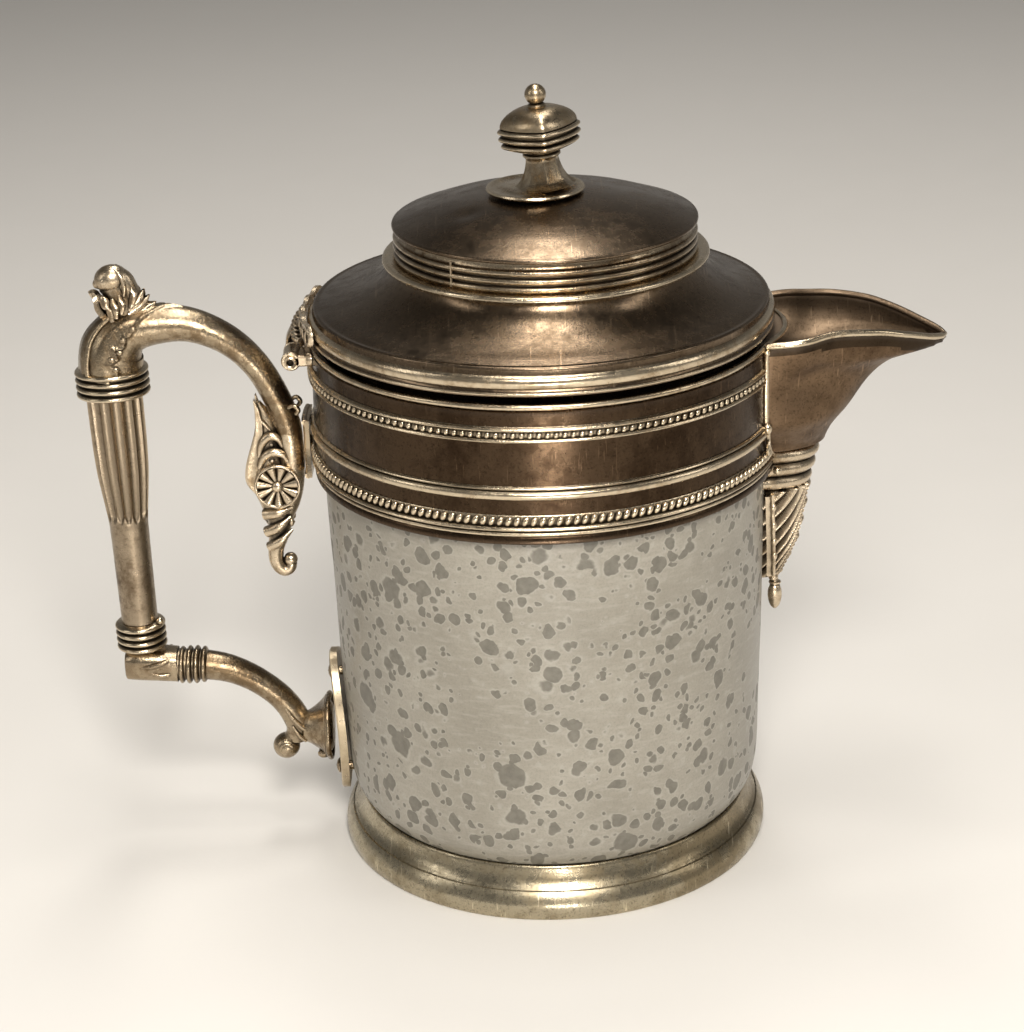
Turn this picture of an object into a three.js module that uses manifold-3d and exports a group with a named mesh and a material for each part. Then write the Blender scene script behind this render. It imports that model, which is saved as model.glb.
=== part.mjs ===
import * as THREE from 'three';
import { mergeVertices } from 'three/addons/utils/BufferGeometryUtils.js';
import Module from 'manifold-3d';

// Lidded cream jug: an enamelled steel pot dressed with silver-plated britannia mounts.
// Millimetres, +Z up, spout towards +X, handle and lid hinge towards -X.
// Radii are measured from the axis of the pot, heights from the table.

const wasm = await Module();
wasm.setup();

// ---------------------------------------------------------------- driving dimensions

const FACETS = 32; // around the large turned pieces
const FACETS_SMALL = 16; // around the finial, the ferrules and the grip
const FACETS_TINY = 10; // around pins, rivets and beads
const SEAM = 0.1; // gap left at a soldered or pressed face

const POT = { rTop: 40.6, rLow: 39.3, rBase: 34.5, wall: 1.0, zBase: 8.4, zRound: 18, zTop: 98.5 };
const FOOT = { rBottom: 40.4, rCrest: 39.9, rTop: 36.5, zCrest: 5.2, zTop: 9.25, wall: 1.3 };
const COLLAR = { r: 41.9, zBottom: 74.8, zTop: 98.7, skirt: 0.4 };
const RIM_WIRE = { r: 41.35, z: 99.3, thick: 0.5 };
const UPPER_BEADS = { zLow: 93.2, zHigh: 96.0, proud: 0.6 };
const MIDDLE_RIDGE = { zLow: 82.8, zHigh: 85.3, proud: 0.6 };
const LOWER_BEADS = { zLow: 76.3, zHigh: 80.3, proud: 0.9 };

const WINDOW = { halfWidth: 8.5, zLow: 81, zHigh: 92.6, corner: 3 };
const SPOUT = { wall: 1.0, zFloor: 77.4, rootHalf: 14.2, tip: 73.4 };
const RIM_BEAD = 0.6; // half thickness of the rolled edge of the spout
const REEDS = { zLow: 69.3, zHigh: 77.1, count: 3, half: 8.6, reach: 50.2 };
const LEAF = { zTop: 69.0, zTip: 49.6 };
const DROP = { x: 42.6, zTop: 49.2, zLow: 42.6, r: 1.3 };

const LID = { rRim: 41.9, zRim: 101.3, sheet: 0.8, rNeck: 27.0, zNeck: 113.2 };
const LID_BEAD = { r: 41.8, z: 104.65, thick: 0.5 };
const BEZEL = { r: 38.9, wall: 0.8, zLow: 95.2, zHigh: 105.3 };
const LEDGE = { r: 28.9, zLow: 113.3, zHigh: 114.1 };
const DRUM = { r: 27.2, zLow: 114.2, zHigh: 119.6, reeds: 3, proud: 0.35 };
const CROWN = { r: 27.1, zEdge: 119.7, zTop: 125.2 };

const FINIAL_SHIFT = -1.4; // the finial stands this far off the axis, towards the handle
const FLANGE = { r: 8.6, zLow: 125.35, zHigh: 126.2 };
const STEM = { zLow: 126.3, zHigh: 130.9, rLow: 5.2, rNeck: 2.4 };
const BUN = { zLow: 131.0, zHigh: 139.9, r: 7.3 };
const BALL = { z: 142.3, r: 2.1, zLow: 140.0 };
const STUD = { r: 1.0, zLow: 120.6, zHigh: 129.0 };
const NUT = { r: 2.7, zLow: 121.6, zHigh: 124.1 };

const HINGE = { x: -44.9, z: 97.4, r: 1.75, bore: 0.86, pin: 0.76, half: 8.5, middle: 2.8, gap: 0.25 };
const PIN_HEAD = { r: 1.1, gap: 0.15, thick: 0.6 };
const LEAF_PLATE = 0.9; // thickness of the two hinge leaves
const BODY_LEAF = { half: 8.5, zLow: 96.2, zHigh: 98.7 };
const LID_LEAF = { half: 14, zLow: 101.4, zHigh: 105.2 };

const GRIP = { xTop: -78.4, zTop: 87.6, xLow: -77.6, zLow: 44.7, rTop: 5.9, rLow: 3.8, flutes: 16 };
const GRIP_BORE = 2.0;
const FERRULE_TOP = { zLow: 87.7, zHigh: 94.2, r: 6.75, rings: 4 };
const FERRULE_LOW = { zLow: 37.9, zHigh: 44.6, r: 4.6, rings: 4 };
const PLATE = { z: 22.2, halfHigh: 14.4, halfWide: 9, rIn: 39.95, thick: 1.5, lean: 0.35 };
const PAD = { z: 20.4, r: 6.8, neck: 3.0, xNeck: -47.2, rFace: 41.95 };
const STRAP = { rIn: 43.0, rOut: 44.1, zLow: 73.6, zHigh: 84.6, half: 4.2 };
const ROSETTE = { x: -49.4, z: 70.8, r: 4.2, thick: 0.9, y: 3.1 };
const RIVET = { shank: 0.9, head: 1.5, inner: 1.2, headThick: 0.7 };
// Each rivet: height, outer face of the plate and inner face of the pot at that height.
const RIVETS = { upper: { z: 32.2, xOut: 41.8, xIn: 38.35 }, lower: { z: 11.8, xOut: 41.35, xIn: 35.0 } };

// ---------------------------------------------------------------- materials

const PLATED = { color: 0x9a8a6c, roughness: 0.32, metalness: 1 };
const TARNISHED = { color: 0x5c4a33, roughness: 0.42, metalness: 1 };
const DULL = { color: 0x7d6f58, roughness: 0.5, metalness: 1 };
const ENAMEL = { color: 0x8f8a7d, roughness: 0.35, metalness: 0 };
const STEEL = { color: 0x8a8a88, roughness: 0.4, metalness: 1 };

// ---------------------------------------------------------------- geometry helpers

const half = (v) => v / 2;
const mix = (a, b, t) => a + (b - a) * t;

function ramp(points, at) {
  // Height of the polyline through points, read at one abscissa.
  const last = points.length - 1;
  if (at <= points[0][0]) return points[0][1];
  for (let i = 0; i < last; i += 1) {
    const [x0, y0] = points[i];
    const [x1, y1] = points[i + 1];
    if (at <= x1) return mix(y0, y1, (at - x0) / (x1 - x0));
  }
  return points[last][1];
}

function signedVolume(geometry) {
  const at = geometry.attributes.position;
  const ids = geometry.index.array;
  const [a, b, c] = [new THREE.Vector3(), new THREE.Vector3(), new THREE.Vector3()];
  let sum = 0;
  for (let i = 0; i < ids.length; i += 3) {
    a.fromBufferAttribute(at, ids[i]);
    b.fromBufferAttribute(at, ids[i + 1]);
    c.fromBufferAttribute(at, ids[i + 2]);
    sum += a.dot(b.cross(c));
  }
  return sum / 6;
}

function welded(geometry) {
  // Shared vertices merged, flat triangles dropped, and every face turned outwards.
  const bare = geometry.clone();
  bare.deleteAttribute('normal');
  bare.deleteAttribute('uv');
  const merged = mergeVertices(bare, 1e-5);
  const ids = merged.index.array;
  const kept = [];
  for (let i = 0; i < ids.length; i += 3) {
    const [a, b, c] = [ids[i], ids[i + 1], ids[i + 2]];
    if (a !== b && b !== c && c !== a) kept.push(a, b, c);
  }
  merged.setIndex(kept);
  if (signedVolume(merged) < 0) {
    for (let i = 0; i < kept.length; i += 3) [kept[i], kept[i + 1]] = [kept[i + 1], kept[i]];
    merged.setIndex(kept);
  }
  return merged;
}

function solid(geometry) {
  const closed = welded(geometry);
  const vertProperties = Float32Array.from(closed.attributes.position.array);
  const triVerts = Uint32Array.from(closed.index.array);
  return new wasm.Manifold(new wasm.Mesh({ numProp: 3, vertProperties, triVerts }));
}

function geometryOf(manifold) {
  const mesh = manifold.getMesh();
  const geometry = new THREE.BufferGeometry();
  geometry.setAttribute('position', new THREE.BufferAttribute(mesh.vertProperties, 3));
  geometry.setIndex(new THREE.BufferAttribute(mesh.triVerts, 1));
  return geometry;
}

function cut(geometry, ...tools) {
  return geometryOf(tools.reduce((left, tool) => left.subtract(solid(tool)), solid(geometry)));
}

function join(...geometries) {
  const [first, ...rest] = geometries.map(solid);
  return geometryOf(rest.reduce((sum, piece) => sum.add(piece), first));
}

function common(geometry, ...others) {
  return geometryOf(others.reduce((left, tool) => left.intersect(solid(tool)), solid(geometry)));
}

function turned(profile, facets = FACETS) {
  // A profile of [radius, height] points turned about the vertical axis.
  const points = profile.map(([r, z]) => new THREE.Vector2(r, z));
  return new THREE.LatheGeometry(points, facets).rotateX(Math.PI / 2);
}

function ring(profile, facets = FACETS) {
  return turned([...profile, profile[0]], facets);
}

function arcPoints(cx, cz, rx, rz, from, to, count) {
  // Points of an elliptical arc, angles in degrees from the +radius direction.
  const step = (to - from) / count;
  const angles = Array.from({ length: count + 1 }, (_, i) => THREE.MathUtils.degToRad(from + i * step));
  return angles.map((a) => [cx + rx * Math.cos(a), cz + rz * Math.sin(a)]);
}

function block(x0, x1, y0, y1, z0, z1) {
  const box = new THREE.BoxGeometry(x1 - x0, y1 - y0, z1 - z0);
  return box.translate(half(x0 + x1), half(y0 + y1), half(z0 + z1));
}

function rodY(r, y0, y1, x, z, facets = FACETS_TINY) {
  return new THREE.CylinderGeometry(r, r, y1 - y0, facets).translate(x, half(y0 + y1), z);
}

function loft(rings) {
  // A closed skin over rings of equal point count, with a fan over each end.
  const size = rings[0].length;
  const points = rings.flat();
  const ids = [];
  for (let k = 0; k < rings.length - 1; k += 1) {
    for (let i = 0; i < size; i += 1) {
      const j = (i + 1) % size;
      const [a, b, c, d] = [k * size + i, k * size + j, (k + 1) * size + j, (k + 1) * size + i];
      ids.push(a, b, c, a, c, d);
    }
  }
  const centre = (list) => list.reduce((s, p) => s.add(p), new THREE.Vector3()).divideScalar(size);
  const base = points.length;
  points.push(centre(rings[0]), centre(rings[rings.length - 1]));
  const top = (rings.length - 1) * size;
  for (let i = 0; i < size; i += 1) {
    const j = (i + 1) % size;
    ids.push(base, j, i, base + 1, top + i, top + j);
  }
  const geometry = new THREE.BufferGeometry().setFromPoints(points);
  geometry.setIndex(ids);
  return geometry;
}

function limb(stations, steps, facets = FACETS_TINY) {
  // A curved bar in the XZ plane; a station is [x, z, half thickness in plane, half width].
  const path = new THREE.CatmullRomCurve3(stations.map(([x, z]) => new THREE.Vector3(x, 0, z)));
  const size = new THREE.CatmullRomCurve3(stations.map(([, , a, b]) => new THREE.Vector3(a, b, 0)));
  const rings = [];
  for (let k = 0; k <= steps; k += 1) {
    const t = k / steps;
    const at = path.getPoint(t);
    const along = path.getTangent(t);
    const { x: thick, y: wide } = size.getPoint(t);
    rings.push(Array.from({ length: facets }, (_, i) => {
      const angle = (2 * Math.PI * i) / facets;
      const side = thick * Math.cos(angle);
      return new THREE.Vector3(at.x + along.z * side, wide * Math.sin(angle), at.z - along.x * side);
    }));
  }
  return loft(rings);
}

// ---------------------------------------------------------------- scene helpers

const pieces = new THREE.Group();

function place(name, geometry, finish, parent = pieces) {
  const mesh = new THREE.Mesh(welded(geometry), new THREE.MeshStandardMaterial(finish));
  mesh.name = name;
  parent.add(mesh);
}

// ---------------------------------------------------------------- pot, foot and collar

function pourWindow() {
  // A rounded rectangle driven through the wall behind the spout.
  const { halfWidth: w, zLow, zHigh, corner: c } = WINDOW;
  const outline = new THREE.Shape();
  outline.moveTo(-w + c, zLow);
  outline.lineTo(w - c, zLow);
  outline.absarc(w - c, zLow + c, c, -Math.PI / 2, 0);
  outline.lineTo(w, zHigh - c);
  outline.absarc(w - c, zHigh - c, c, 0, Math.PI / 2);
  outline.lineTo(-w + c, zHigh);
  outline.absarc(-w + c, zHigh - c, c, Math.PI / 2, Math.PI);
  outline.lineTo(-w, zLow + c);
  outline.absarc(-w + c, zLow + c, c, Math.PI, 1.5 * Math.PI);
  const depth = 14;
  const prism = new THREE.ExtrudeGeometry(outline, { depth, bevelEnabled: false, curveSegments: 3 });
  return prism.rotateX(Math.PI / 2).rotateZ(Math.PI / 2).translate(34, 0, 0);
}

function enamelledPot() {
  const { rTop, rLow, rBase, wall, zBase, zRound, zTop } = POT;
  const floor = zBase + wall;
  const outside = [
    [0, zBase], [rBase, zBase], [rBase + 1.9, zBase + 1], [38.3, zBase + 4], [39.15, zBase + 7.6],
    [rLow, zRound + 1], [rTop, COLLAR.zBottom], [rTop, zTop],
  ];
  const inside = [
    [rTop - wall, zTop], [rTop - wall, COLLAR.zBottom], [rLow - wall, zRound + 1], [37.2, floor + 4],
    [rBase + 0.9, floor + 0.9], [rBase - 0.6, floor], [0, floor],
  ];
  return cut(turned([...outside, ...inside]), pourWindow(), ...rivetHoles());
}

function footRing() {
  const { rBottom, rCrest, rTop, zCrest, zTop, wall } = FOOT;
  return ring([
    [rTop, zTop], [rTop + 1.2, zTop - 0.8], [rCrest - 0.7, zCrest + 1.1], [rCrest, zCrest],
    [rBottom - 0.2, 3.9], [rBottom, 1.4], [rBottom - 0.3, 0], [rBottom - 0.3 - wall, 0],
    [rBottom - 0.3 - wall, 3.4], [rCrest - 2.3, 5.5], [rTop - 0.4, 6.9], [33.6, 7.2], [33.6, 8.1],
    [35.2, 8.35],
  ]);
}

function collarSleeve() {
  const { r, zBottom, zTop, skirt } = COLLAR;
  const rIn = POT.rTop + 0.15;
  const sleeve = ring([
    [rIn, zBottom], [r + skirt - 0.2, zBottom], [r + skirt, zBottom + 0.6], [r, zBottom + 1.4],
    [r, zTop], [rIn, zTop],
  ]);
  return cut(sleeve, pourWindow());
}

function wire({ r, z, thick }, facets = 6) {
  return new THREE.TorusGeometry(r, thick, facets, FACETS).translate(0, 0, z);
}

function moulding({ zLow, zHigh, proud }, gapHalf) {
  // Two half-round lines with a bead channel between them, broken where the spout stands.
  const rIn = COLLAR.r + SEAM;
  const line = 0.28 * (zHigh - zLow);
  const crest = COLLAR.r + proud;
  const band = ring([
    [rIn, zLow], [mix(rIn, crest, 0.7), zLow + 0.1], [crest, zLow + half(line)],
    [mix(rIn, crest, 0.5), zLow + line], [mix(rIn, crest, 0.5), zHigh - line],
    [crest, zHigh - half(line)], [mix(rIn, crest, 0.7), zHigh - 0.1], [rIn, zHigh],
  ]);
  return cut(band, block(20, 60, -gapHalf, gapHalf, zLow - 1, zHigh + 1));
}

place('enamel_pot', enamelledPot(), ENAMEL);
place('foot_ring', footRing(), DULL);
place('collar_sleeve', collarSleeve(), TARNISHED);
place('collar_rim_wire', wire(RIM_WIRE), PLATED);
place('upper_bead_moulding', moulding(UPPER_BEADS, SPOUT.rootHalf + 1.9), PLATED);
place('middle_ridge', moulding(MIDDLE_RIDGE, SPOUT.rootHalf + 1.9), PLATED);
place('lower_bead_moulding', moulding(LOWER_BEADS, SPOUT.rootHalf - 2), PLATED);

// ---------------------------------------------------------------- spout

// Keel of the spout and its half width against the collar, read by height.
const KEEL = [[69, 48.9], [75.5, 50.9], [80.1, 52.7], [84.7, 56.1], [89.8, 60], [93, 64.5], [95.4, 73.4]];
const ROOT_HALF = [[69, 8], [77.5, 8.8], [80.5, 11.4], [85, 14.2]];
const MOUTH = [[0, 1], [0.18, 0.93], [0.36, 0.76], [0.56, 0.665], [0.74, 0.52], [0.89, 0.34], [1, 0]];
// Rim line of the spout seen from the side.
const RIM = [[38, 98.9], [46.3, 100.4], [52.7, 101.2], [59.4, 100.6], [65, 99], [69.9, 97], [73.4, 95.6]];
const ROOT_X = 38;

function spoutOutline(z, inset) {
  // Horizontal section of the spout at one height, drawn in by inset.
  const reach = ramp(KEEL, z) - inset;
  const wide = ramp(ROOT_HALF, z) - inset;
  const beak = THREE.MathUtils.smoothstep(z, 84, 95.4);
  const count = 14;
  const near = [];
  for (let i = 0; i <= count; i += 1) {
    const s = Math.sin((Math.PI / 2) * (i / count));
    const round = Math.sqrt(Math.max(0, 1 - s * s));
    const y = wide * mix(round, ramp(MOUTH, s), beak);
    near.push(new THREE.Vector3(mix(ROOT_X, reach, s), -y, z));
  }
  const far = near.slice(0, count).reverse().map((p) => new THREE.Vector3(p.x, -p.y, p.z));
  return [...near, ...far];
}

function spoutVolume(inset, zLow, zHigh) {
  const heights = [zLow, 79, 81, 83, 85, 87.5, 90, 92, 93.4, 94.6, 95.4, 98, zHigh];
  return loft(heights.filter((z) => z >= zLow).map((z) => spoutOutline(z, inset)));
}

function aboveRim() {
  // Everything over the rim line, as one prism across the spout.
  const outline = new THREE.Shape(RIM.map(([x, z]) => new THREE.Vector2(x, z)));
  outline.lineTo(90, 95.6);
  outline.lineTo(90, 120);
  outline.lineTo(30, 120);
  outline.lineTo(30, RIM[0][1]);
  const prism = new THREE.ExtrudeGeometry(outline, { depth: 60, bevelEnabled: false });
  return prism.rotateX(Math.PI / 2).translate(0, 30, 0);
}

function collarClearance(r) {
  const [zLow, zHigh] = [30, 125];
  return turned([[0, zLow], [r, zLow], [r, zHigh], [0, zHigh]], 2 * FACETS);
}

function spoutShell() {
  const { wall, zFloor } = SPOUT;
  const outside = spoutVolume(0, zFloor, 106);
  const inside = spoutVolume(wall, zFloor + 0.3, 108).translate(0, 0, 0.7);
  return cut(outside, inside, aboveRim(), collarClearance(COLLAR.r + 0.3));
}

function spoutRim() {
  // The rolled edge: a bead that follows the rim from the collar round the beak and back.
  const reach = SPOUT.tip - 0.5;
  const near = [];
  for (let i = 0; i <= 12; i += 1) {
    const s = mix(0.14, 1, Math.sin((Math.PI / 2) * (i / 12)));
    const x = mix(ROOT_X, reach, s);
    const y = -(SPOUT.rootHalf - 0.5) * ramp(MOUTH, s);
    near.push(new THREE.Vector3(x, y, ramp(RIM, x) + RIM_BEAD + 0.25));
  }
  const far = near.slice(0, 12).reverse().map((p) => new THREE.Vector3(p.x, -p.y, p.z));
  const path = new THREE.CatmullRomCurve3([...near, ...far], false, 'centripetal');
  const section = new THREE.Shape();
  section.absarc(0, 0, RIM_BEAD, 0, 2 * Math.PI);
  const options = { steps: 36, extrudePath: path, curveSegments: 3, bevelEnabled: false };
  return cut(new THREE.ExtrudeGeometry(section, options), collarClearance(COLLAR.r + 0.4));
}

function rootStrip(side) {
  // The fillet of solder metal that covers one vertical joint between spout and collar.
  const halfStrip = 0.8;
  const y = side * (SPOUT.rootHalf + 0.95);
  const rOut = COLLAR.r + 1.1;
  const band = ring([[COLLAR.r + SEAM, 86], [rOut, 86], [rOut, 98.4], [COLLAR.r + SEAM, 98.4]]);
  return common(band, block(30, 50, y - halfStrip, y + halfStrip, 80, 102));
}

function reededBand() {
  // Three horizontal reeds wrapped round the throat under the spout.
  const { zLow, zHigh, count, half: wide, reach } = REEDS;
  const pitch = (zHigh - zLow) / count;
  const perReed = 4;
  const sections = [];
  for (let k = 0; k <= count * perReed; k += 1) {
    const phase = (k % perReed) / perReed;
    const swell = 0.75 * Math.sin(Math.PI * phase);
    const z = zLow + (k * pitch) / perReed;
    const shrink = 0.25 * (zHigh - z);
    const out = [];
    for (let i = 0; i <= 12; i += 1) {
      const a = THREE.MathUtils.degToRad(-90 + 15 * i);
      const x = ROOT_X + (reach - ROOT_X - shrink + swell) * Math.cos(a);
      out.push(new THREE.Vector3(x, (wide - 0.3 * shrink + swell) * Math.sin(a), z));
    }
    sections.push(out);
  }
  return cut(loft(sections), collarClearance(COLLAR.r + LOWER_BEADS.proud + 0.2));
}

function spoutLeaf() {
  // The pointed shell leaf that tapers down the pot below the reeds.
  const keel = [[49.6, 43.4], [53.6, 45.1], [57.6, 46.7], [63.4, 47.9], [69, 48.8]];
  const wide = [[49.6, 1.6], [53.6, 3.4], [57.6, 5], [63.4, 6.6], [69, 7.8]];
  const steps = 8;
  const sections = [];
  for (let k = 0; k <= steps; k += 1) {
    const z = mix(LEAF.zTip, LEAF.zTop, k / steps);
    const out = [];
    for (let i = 0; i <= 12; i += 1) {
      const a = THREE.MathUtils.degToRad(-90 + 15 * i);
      const x = mix(ROOT_X, ramp(keel, z), Math.cos(a));
      out.push(new THREE.Vector3(x, ramp(wide, z) * Math.sin(a), z));
    }
    sections.push(out);
  }
  return cut(loft(sections), collarClearance(42.1));
}

function leafBackplate() {
  // The thin strip that beds the leaf on the enamel.
  const outline = new THREE.Shape();
  outline.moveTo(-8.6, 68.6);
  outline.lineTo(-7.0, 62);
  outline.lineTo(-4.2, 55);
  outline.lineTo(-2.2, 49.8);
  outline.lineTo(2.2, 49.8);
  outline.lineTo(4.2, 55);
  outline.lineTo(7.0, 62);
  outline.lineTo(8.6, 68.6);
  const prism = new THREE.ExtrudeGeometry(outline, { depth: 14, bevelEnabled: false });
  prism.rotateX(Math.PI / 2).rotateZ(Math.PI / 2).translate(34, 0, 0);
  return common(prism, ring([[40.9, 48], [41.9, 48], [41.9, 74], [40.9, 74]]));
}

function dropBead() {
  const { x, zTop, zLow, r } = DROP;
  const mid = mix(zLow, zTop, 0.45);
  const belly = arcPoints(0, mid, r, mid - zLow, -60, 0, 3);
  const outline = [[0, zLow], ...belly, [0.7 * r, zTop - 1.4], [0.6, zTop], [0, zTop]];
  return turned(outline, FACETS_TINY).translate(x, 0, 0);
}

place('spout_shell', spoutShell(), TARNISHED);
place('spout_rim_bead', spoutRim(), PLATED);
place('spout_root_strip_near', rootStrip(-1), PLATED);
place('spout_root_strip_far', rootStrip(1), PLATED);
place('spout_reeded_band', reededBand(), PLATED);
place('spout_leaf', spoutLeaf(), PLATED);
place('spout_leaf_backplate', leafBackplate(), DULL);
place('spout_drop_bead', dropBead(), PLATED);

// ---------------------------------------------------------------- lid

function lidShoulder() {
  const { rRim, zRim, sheet, rNeck, zNeck } = LID;
  const outside = [
    [rRim, zRim], [41.25, 104.1], [40.7, 105.3], [40.2, 106.1], [37, 107.2], [33, 108.7], [29.5, 110.8],
    [rNeck + 0.4, zNeck],
  ];
  const inside = outside.map(([r, z]) => [r - sheet, z - (z > 105 ? sheet : 0)]).reverse();
  return ring([...outside, ...inside]);
}

function lidBezel() {
  const { r, wall, zLow, zHigh } = BEZEL;
  return ring([[r - wall, zLow], [r, zLow], [r, zHigh], [r - wall, zHigh]]);
}

function lidLedge() {
  const { r, zLow, zHigh } = LEDGE;
  return ring([[25.9, zLow], [r - 0.3, zLow], [r, half(zLow + zHigh)], [r - 0.3, zHigh], [25.9, zHigh]]);
}

function lidDrum() {
  const { r, zLow, zHigh, reeds, proud } = DRUM;
  const pitch = (zHigh - zLow) / reeds;
  const outside = [];
  for (let k = 0; k < reeds; k += 1) {
    const z = zLow + k * pitch;
    outside.push([r - proud, z], [r, z + 0.3 * pitch], [r, z + 0.6 * pitch]);
  }
  outside.push([r - proud, zHigh]);
  return ring([...outside, [26.1, zHigh], [26.1, zLow]]);
}

function lidCrown() {
  const { r, zEdge, zTop } = CROWN;
  const sheet = LID.sheet;
  const rise = [[24, 121.6], [18, 123.4], [12, 124.5], [7, zTop]];
  const under = rise.map(([radius, z]) => [radius, z - sheet]).reverse();
  const dome = turned([
    [r - 0.2, zEdge], [r, zEdge + 0.4], [r - 0.7, zEdge + 0.9], ...rise, [0, zTop], [0, zTop - sheet],
    ...under, [r - 1.2, zEdge + 0.2], [r - 1.2, zEdge], [r - 0.2, zEdge],
  ]);
  const studHole = new THREE.CylinderGeometry(1.3, 1.3, 6, FACETS_TINY).rotateX(Math.PI / 2);
  return cut(dome, studHole.translate(FINIAL_SHIFT, 0, zTop));
}

place('lid_shoulder', lidShoulder(), TARNISHED);
place('lid_rim_bead', wire(LID_BEAD), PLATED);
place('lid_bezel', lidBezel(), TARNISHED);
place('lid_ledge_ring', lidLedge(), PLATED);
place('lid_reeded_drum', lidDrum(), PLATED);
place('lid_crown', lidCrown(), TARNISHED);

// ---------------------------------------------------------------- finial

const finial = new THREE.Group();
finial.position.x = FINIAL_SHIFT;
pieces.add(finial);

function finialFlange() {
  const { r, zLow, zHigh } = FLANGE;
  const edge = [[r - 0.4, zLow], [r, zLow + 0.3], [r - 0.4, zHigh - 0.2], [6, zHigh]];
  return ring([[1.3, zLow], ...edge, [1.3, zHigh]], FACETS_SMALL);
}

function finialStem() {
  const { zLow, zHigh, rLow, rNeck } = STEM;
  const bore = STUD.r + 0.15;
  return turned([
    [0, STUD.zHigh + 0.2], [bore, STUD.zHigh + 0.2], [bore, zLow], [rLow, zLow], [rLow - 1.8, zLow + 1.1],
    [rNeck + 0.1, zHigh - 2], [rNeck, zHigh - 0.8], [rNeck + 0.7, zHigh], [0, zHigh],
  ], FACETS_SMALL);
}

function finialBun() {
  const { zLow, zHigh, r } = BUN;
  const ridges = [0, 1, 2].flatMap((k) => [[r - 0.4, zLow + 0.7 + 1.2 * k], [r, zLow + 1.2 + 1.2 * k]]);
  const dome = arcPoints(0, zLow + 4.4, r - 0.5, zHigh - zLow - 4.4, 0, 90, 6);
  return turned([[0, zLow], [3.3, zLow], ...ridges, ...dome.slice(0, -1), [0, zHigh]], FACETS_SMALL);
}

function finialBall() {
  const { z, r, zLow } = BALL;
  const round = arcPoints(0, z, r, r, -62, 90, 8).slice(0, -1);
  return turned([[0, zLow], [1, zLow], ...round, [0, z + r]], FACETS_SMALL);
}

function upright(r, zLow, zHigh, facets) {
  const rod = new THREE.CylinderGeometry(r, r, zHigh - zLow, facets).rotateX(Math.PI / 2);
  return rod.translate(0, 0, half(zLow + zHigh));
}

function finialNut() {
  const bore = upright(STUD.r + 0.15, NUT.zLow - 1, NUT.zHigh + 1, FACETS_TINY);
  return cut(upright(NUT.r, NUT.zLow, NUT.zHigh, 6), bore);
}

place('finial_flange', finialFlange(), PLATED, finial);
place('finial_stem', finialStem(), PLATED, finial);
place('finial_bun', finialBun(), PLATED, finial);
place('finial_ball', finialBall(), PLATED, finial);
place('finial_stud', upright(STUD.r, STUD.zLow, STUD.zHigh, FACETS_TINY), STEEL, finial);
place('finial_nut', finialNut(), STEEL, finial);

// ---------------------------------------------------------------- hinge

function knuckle(y0, y1) {
  return rodY(HINGE.r, y0, y1, HINGE.x, HINGE.z, 16);
}

function pinBore() {
  return rodY(HINGE.bore, -20, 20, HINGE.x, HINGE.z, 16);
}

function arcPlate(rIn, { half: wide, zLow, zHigh }) {
  // A curved plate on the handle side, following the circle of the collar or the lid.
  const rOut = rIn + LEAF_PLATE;
  const band = ring([[rIn, zLow], [rOut, zLow], [rOut, zHigh], [rIn, zHigh]], 2 * FACETS);
  return common(band, block(-50, -30, -wide, wide, zLow - 5, zHigh + 5));
}

function hingeBodyLeaf() {
  // A curved plate on the collar with a lug and knuckle at each end of the barrel.
  const { x, z, half: wide, middle, gap } = HINGE;
  const rIn = COLLAR.r + SEAM;
  const lugHalf = 0.95;
  const lugs = [-1, 1].map((side) => {
    const ends = [side * (middle + gap), side * wide];
    const [y0, y1] = [Math.min(...ends), Math.max(...ends)];
    return join(block(x, -41.2, y0, y1, z - lugHalf, z + lugHalf), knuckle(y0, y1));
  });
  return cut(join(arcPlate(rIn, BODY_LEAF), ...lugs), pinBore(), collarClearance(rIn));
}

function hingeLidLeaf() {
  // A curved plate on the lid's rim, with an arm reaching over the gap to the middle knuckle.
  const { x, z, middle } = HINGE;
  const rIn = LID_BEAD.r + LID_BEAD.thick + SEAM;
  const bar = limb([
    [x - 0.9, z + 0.4, 0.6, 2.6], [x - 0.5, z + 3.0, 0.6, 2.6], [x + 1.2, 101.9, 0.6, 2.6],
    [x + 2, 104, 0.4, 2.6],
  ], 6, 8);
  const arm = common(bar, block(-60, -30, -middle, middle, 90, 110));
  const lidClear = turned([[0, 101], [rIn, 101], [rIn, 110], [0, 110]], 2 * FACETS);
  return cut(join(arcPlate(rIn, LID_LEAF), arm, knuckle(-middle, middle)), pinBore(), lidClear);
}

function hingePin() {
  const { x, z, pin, half: wide } = HINGE;
  const { r, gap, thick } = PIN_HEAD;
  const shank = rodY(pin, -wide - gap, wide + gap, x, z, 16);
  const nearHead = rodY(r, -wide - gap - thick, -wide - gap, x, z);
  const farHead = rodY(r, wide + gap, wide + gap + thick, x, z);
  return join(shank, nearHead, farHead);
}

place('hinge_body_leaf', hingeBodyLeaf(), PLATED);
place('hinge_lid_leaf', hingeLidLeaf(), PLATED);
place('hinge_pin', hingePin(), STEEL);

// ---------------------------------------------------------------- handle

// The upper arm from the ferrule over the arch to the collar.
const ARM = [
  [-78.4, 92.6, 6.2, 6.2], [-77.7, 98.2, 5.7, 5.5], [-74.6, 101.4, 4.6, 4.6], [-69.6, 102.3, 3.8, 4.0],
  [-63.4, 102.0, 3.3, 3.7], [-57.6, 98.7, 3.0, 3.5], [-53.4, 93.7, 2.9, 3.3], [-49.6, 87.6, 2.9, 3.1],
  [-46.8, 82.4, 2.5, 2.8], [-45.4, 77.6, 1.5, 2.2],
];

function upperArm() {
  const bar = limb(ARM, 18, 12);
  const ferruleSeat = block(-90, -68, -10, 10, 80, FERRULE_TOP.zHigh + 0.25);
  return cut(bar, ferruleSeat, collarClearance(STRAP.rOut + 0.15));
}

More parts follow.
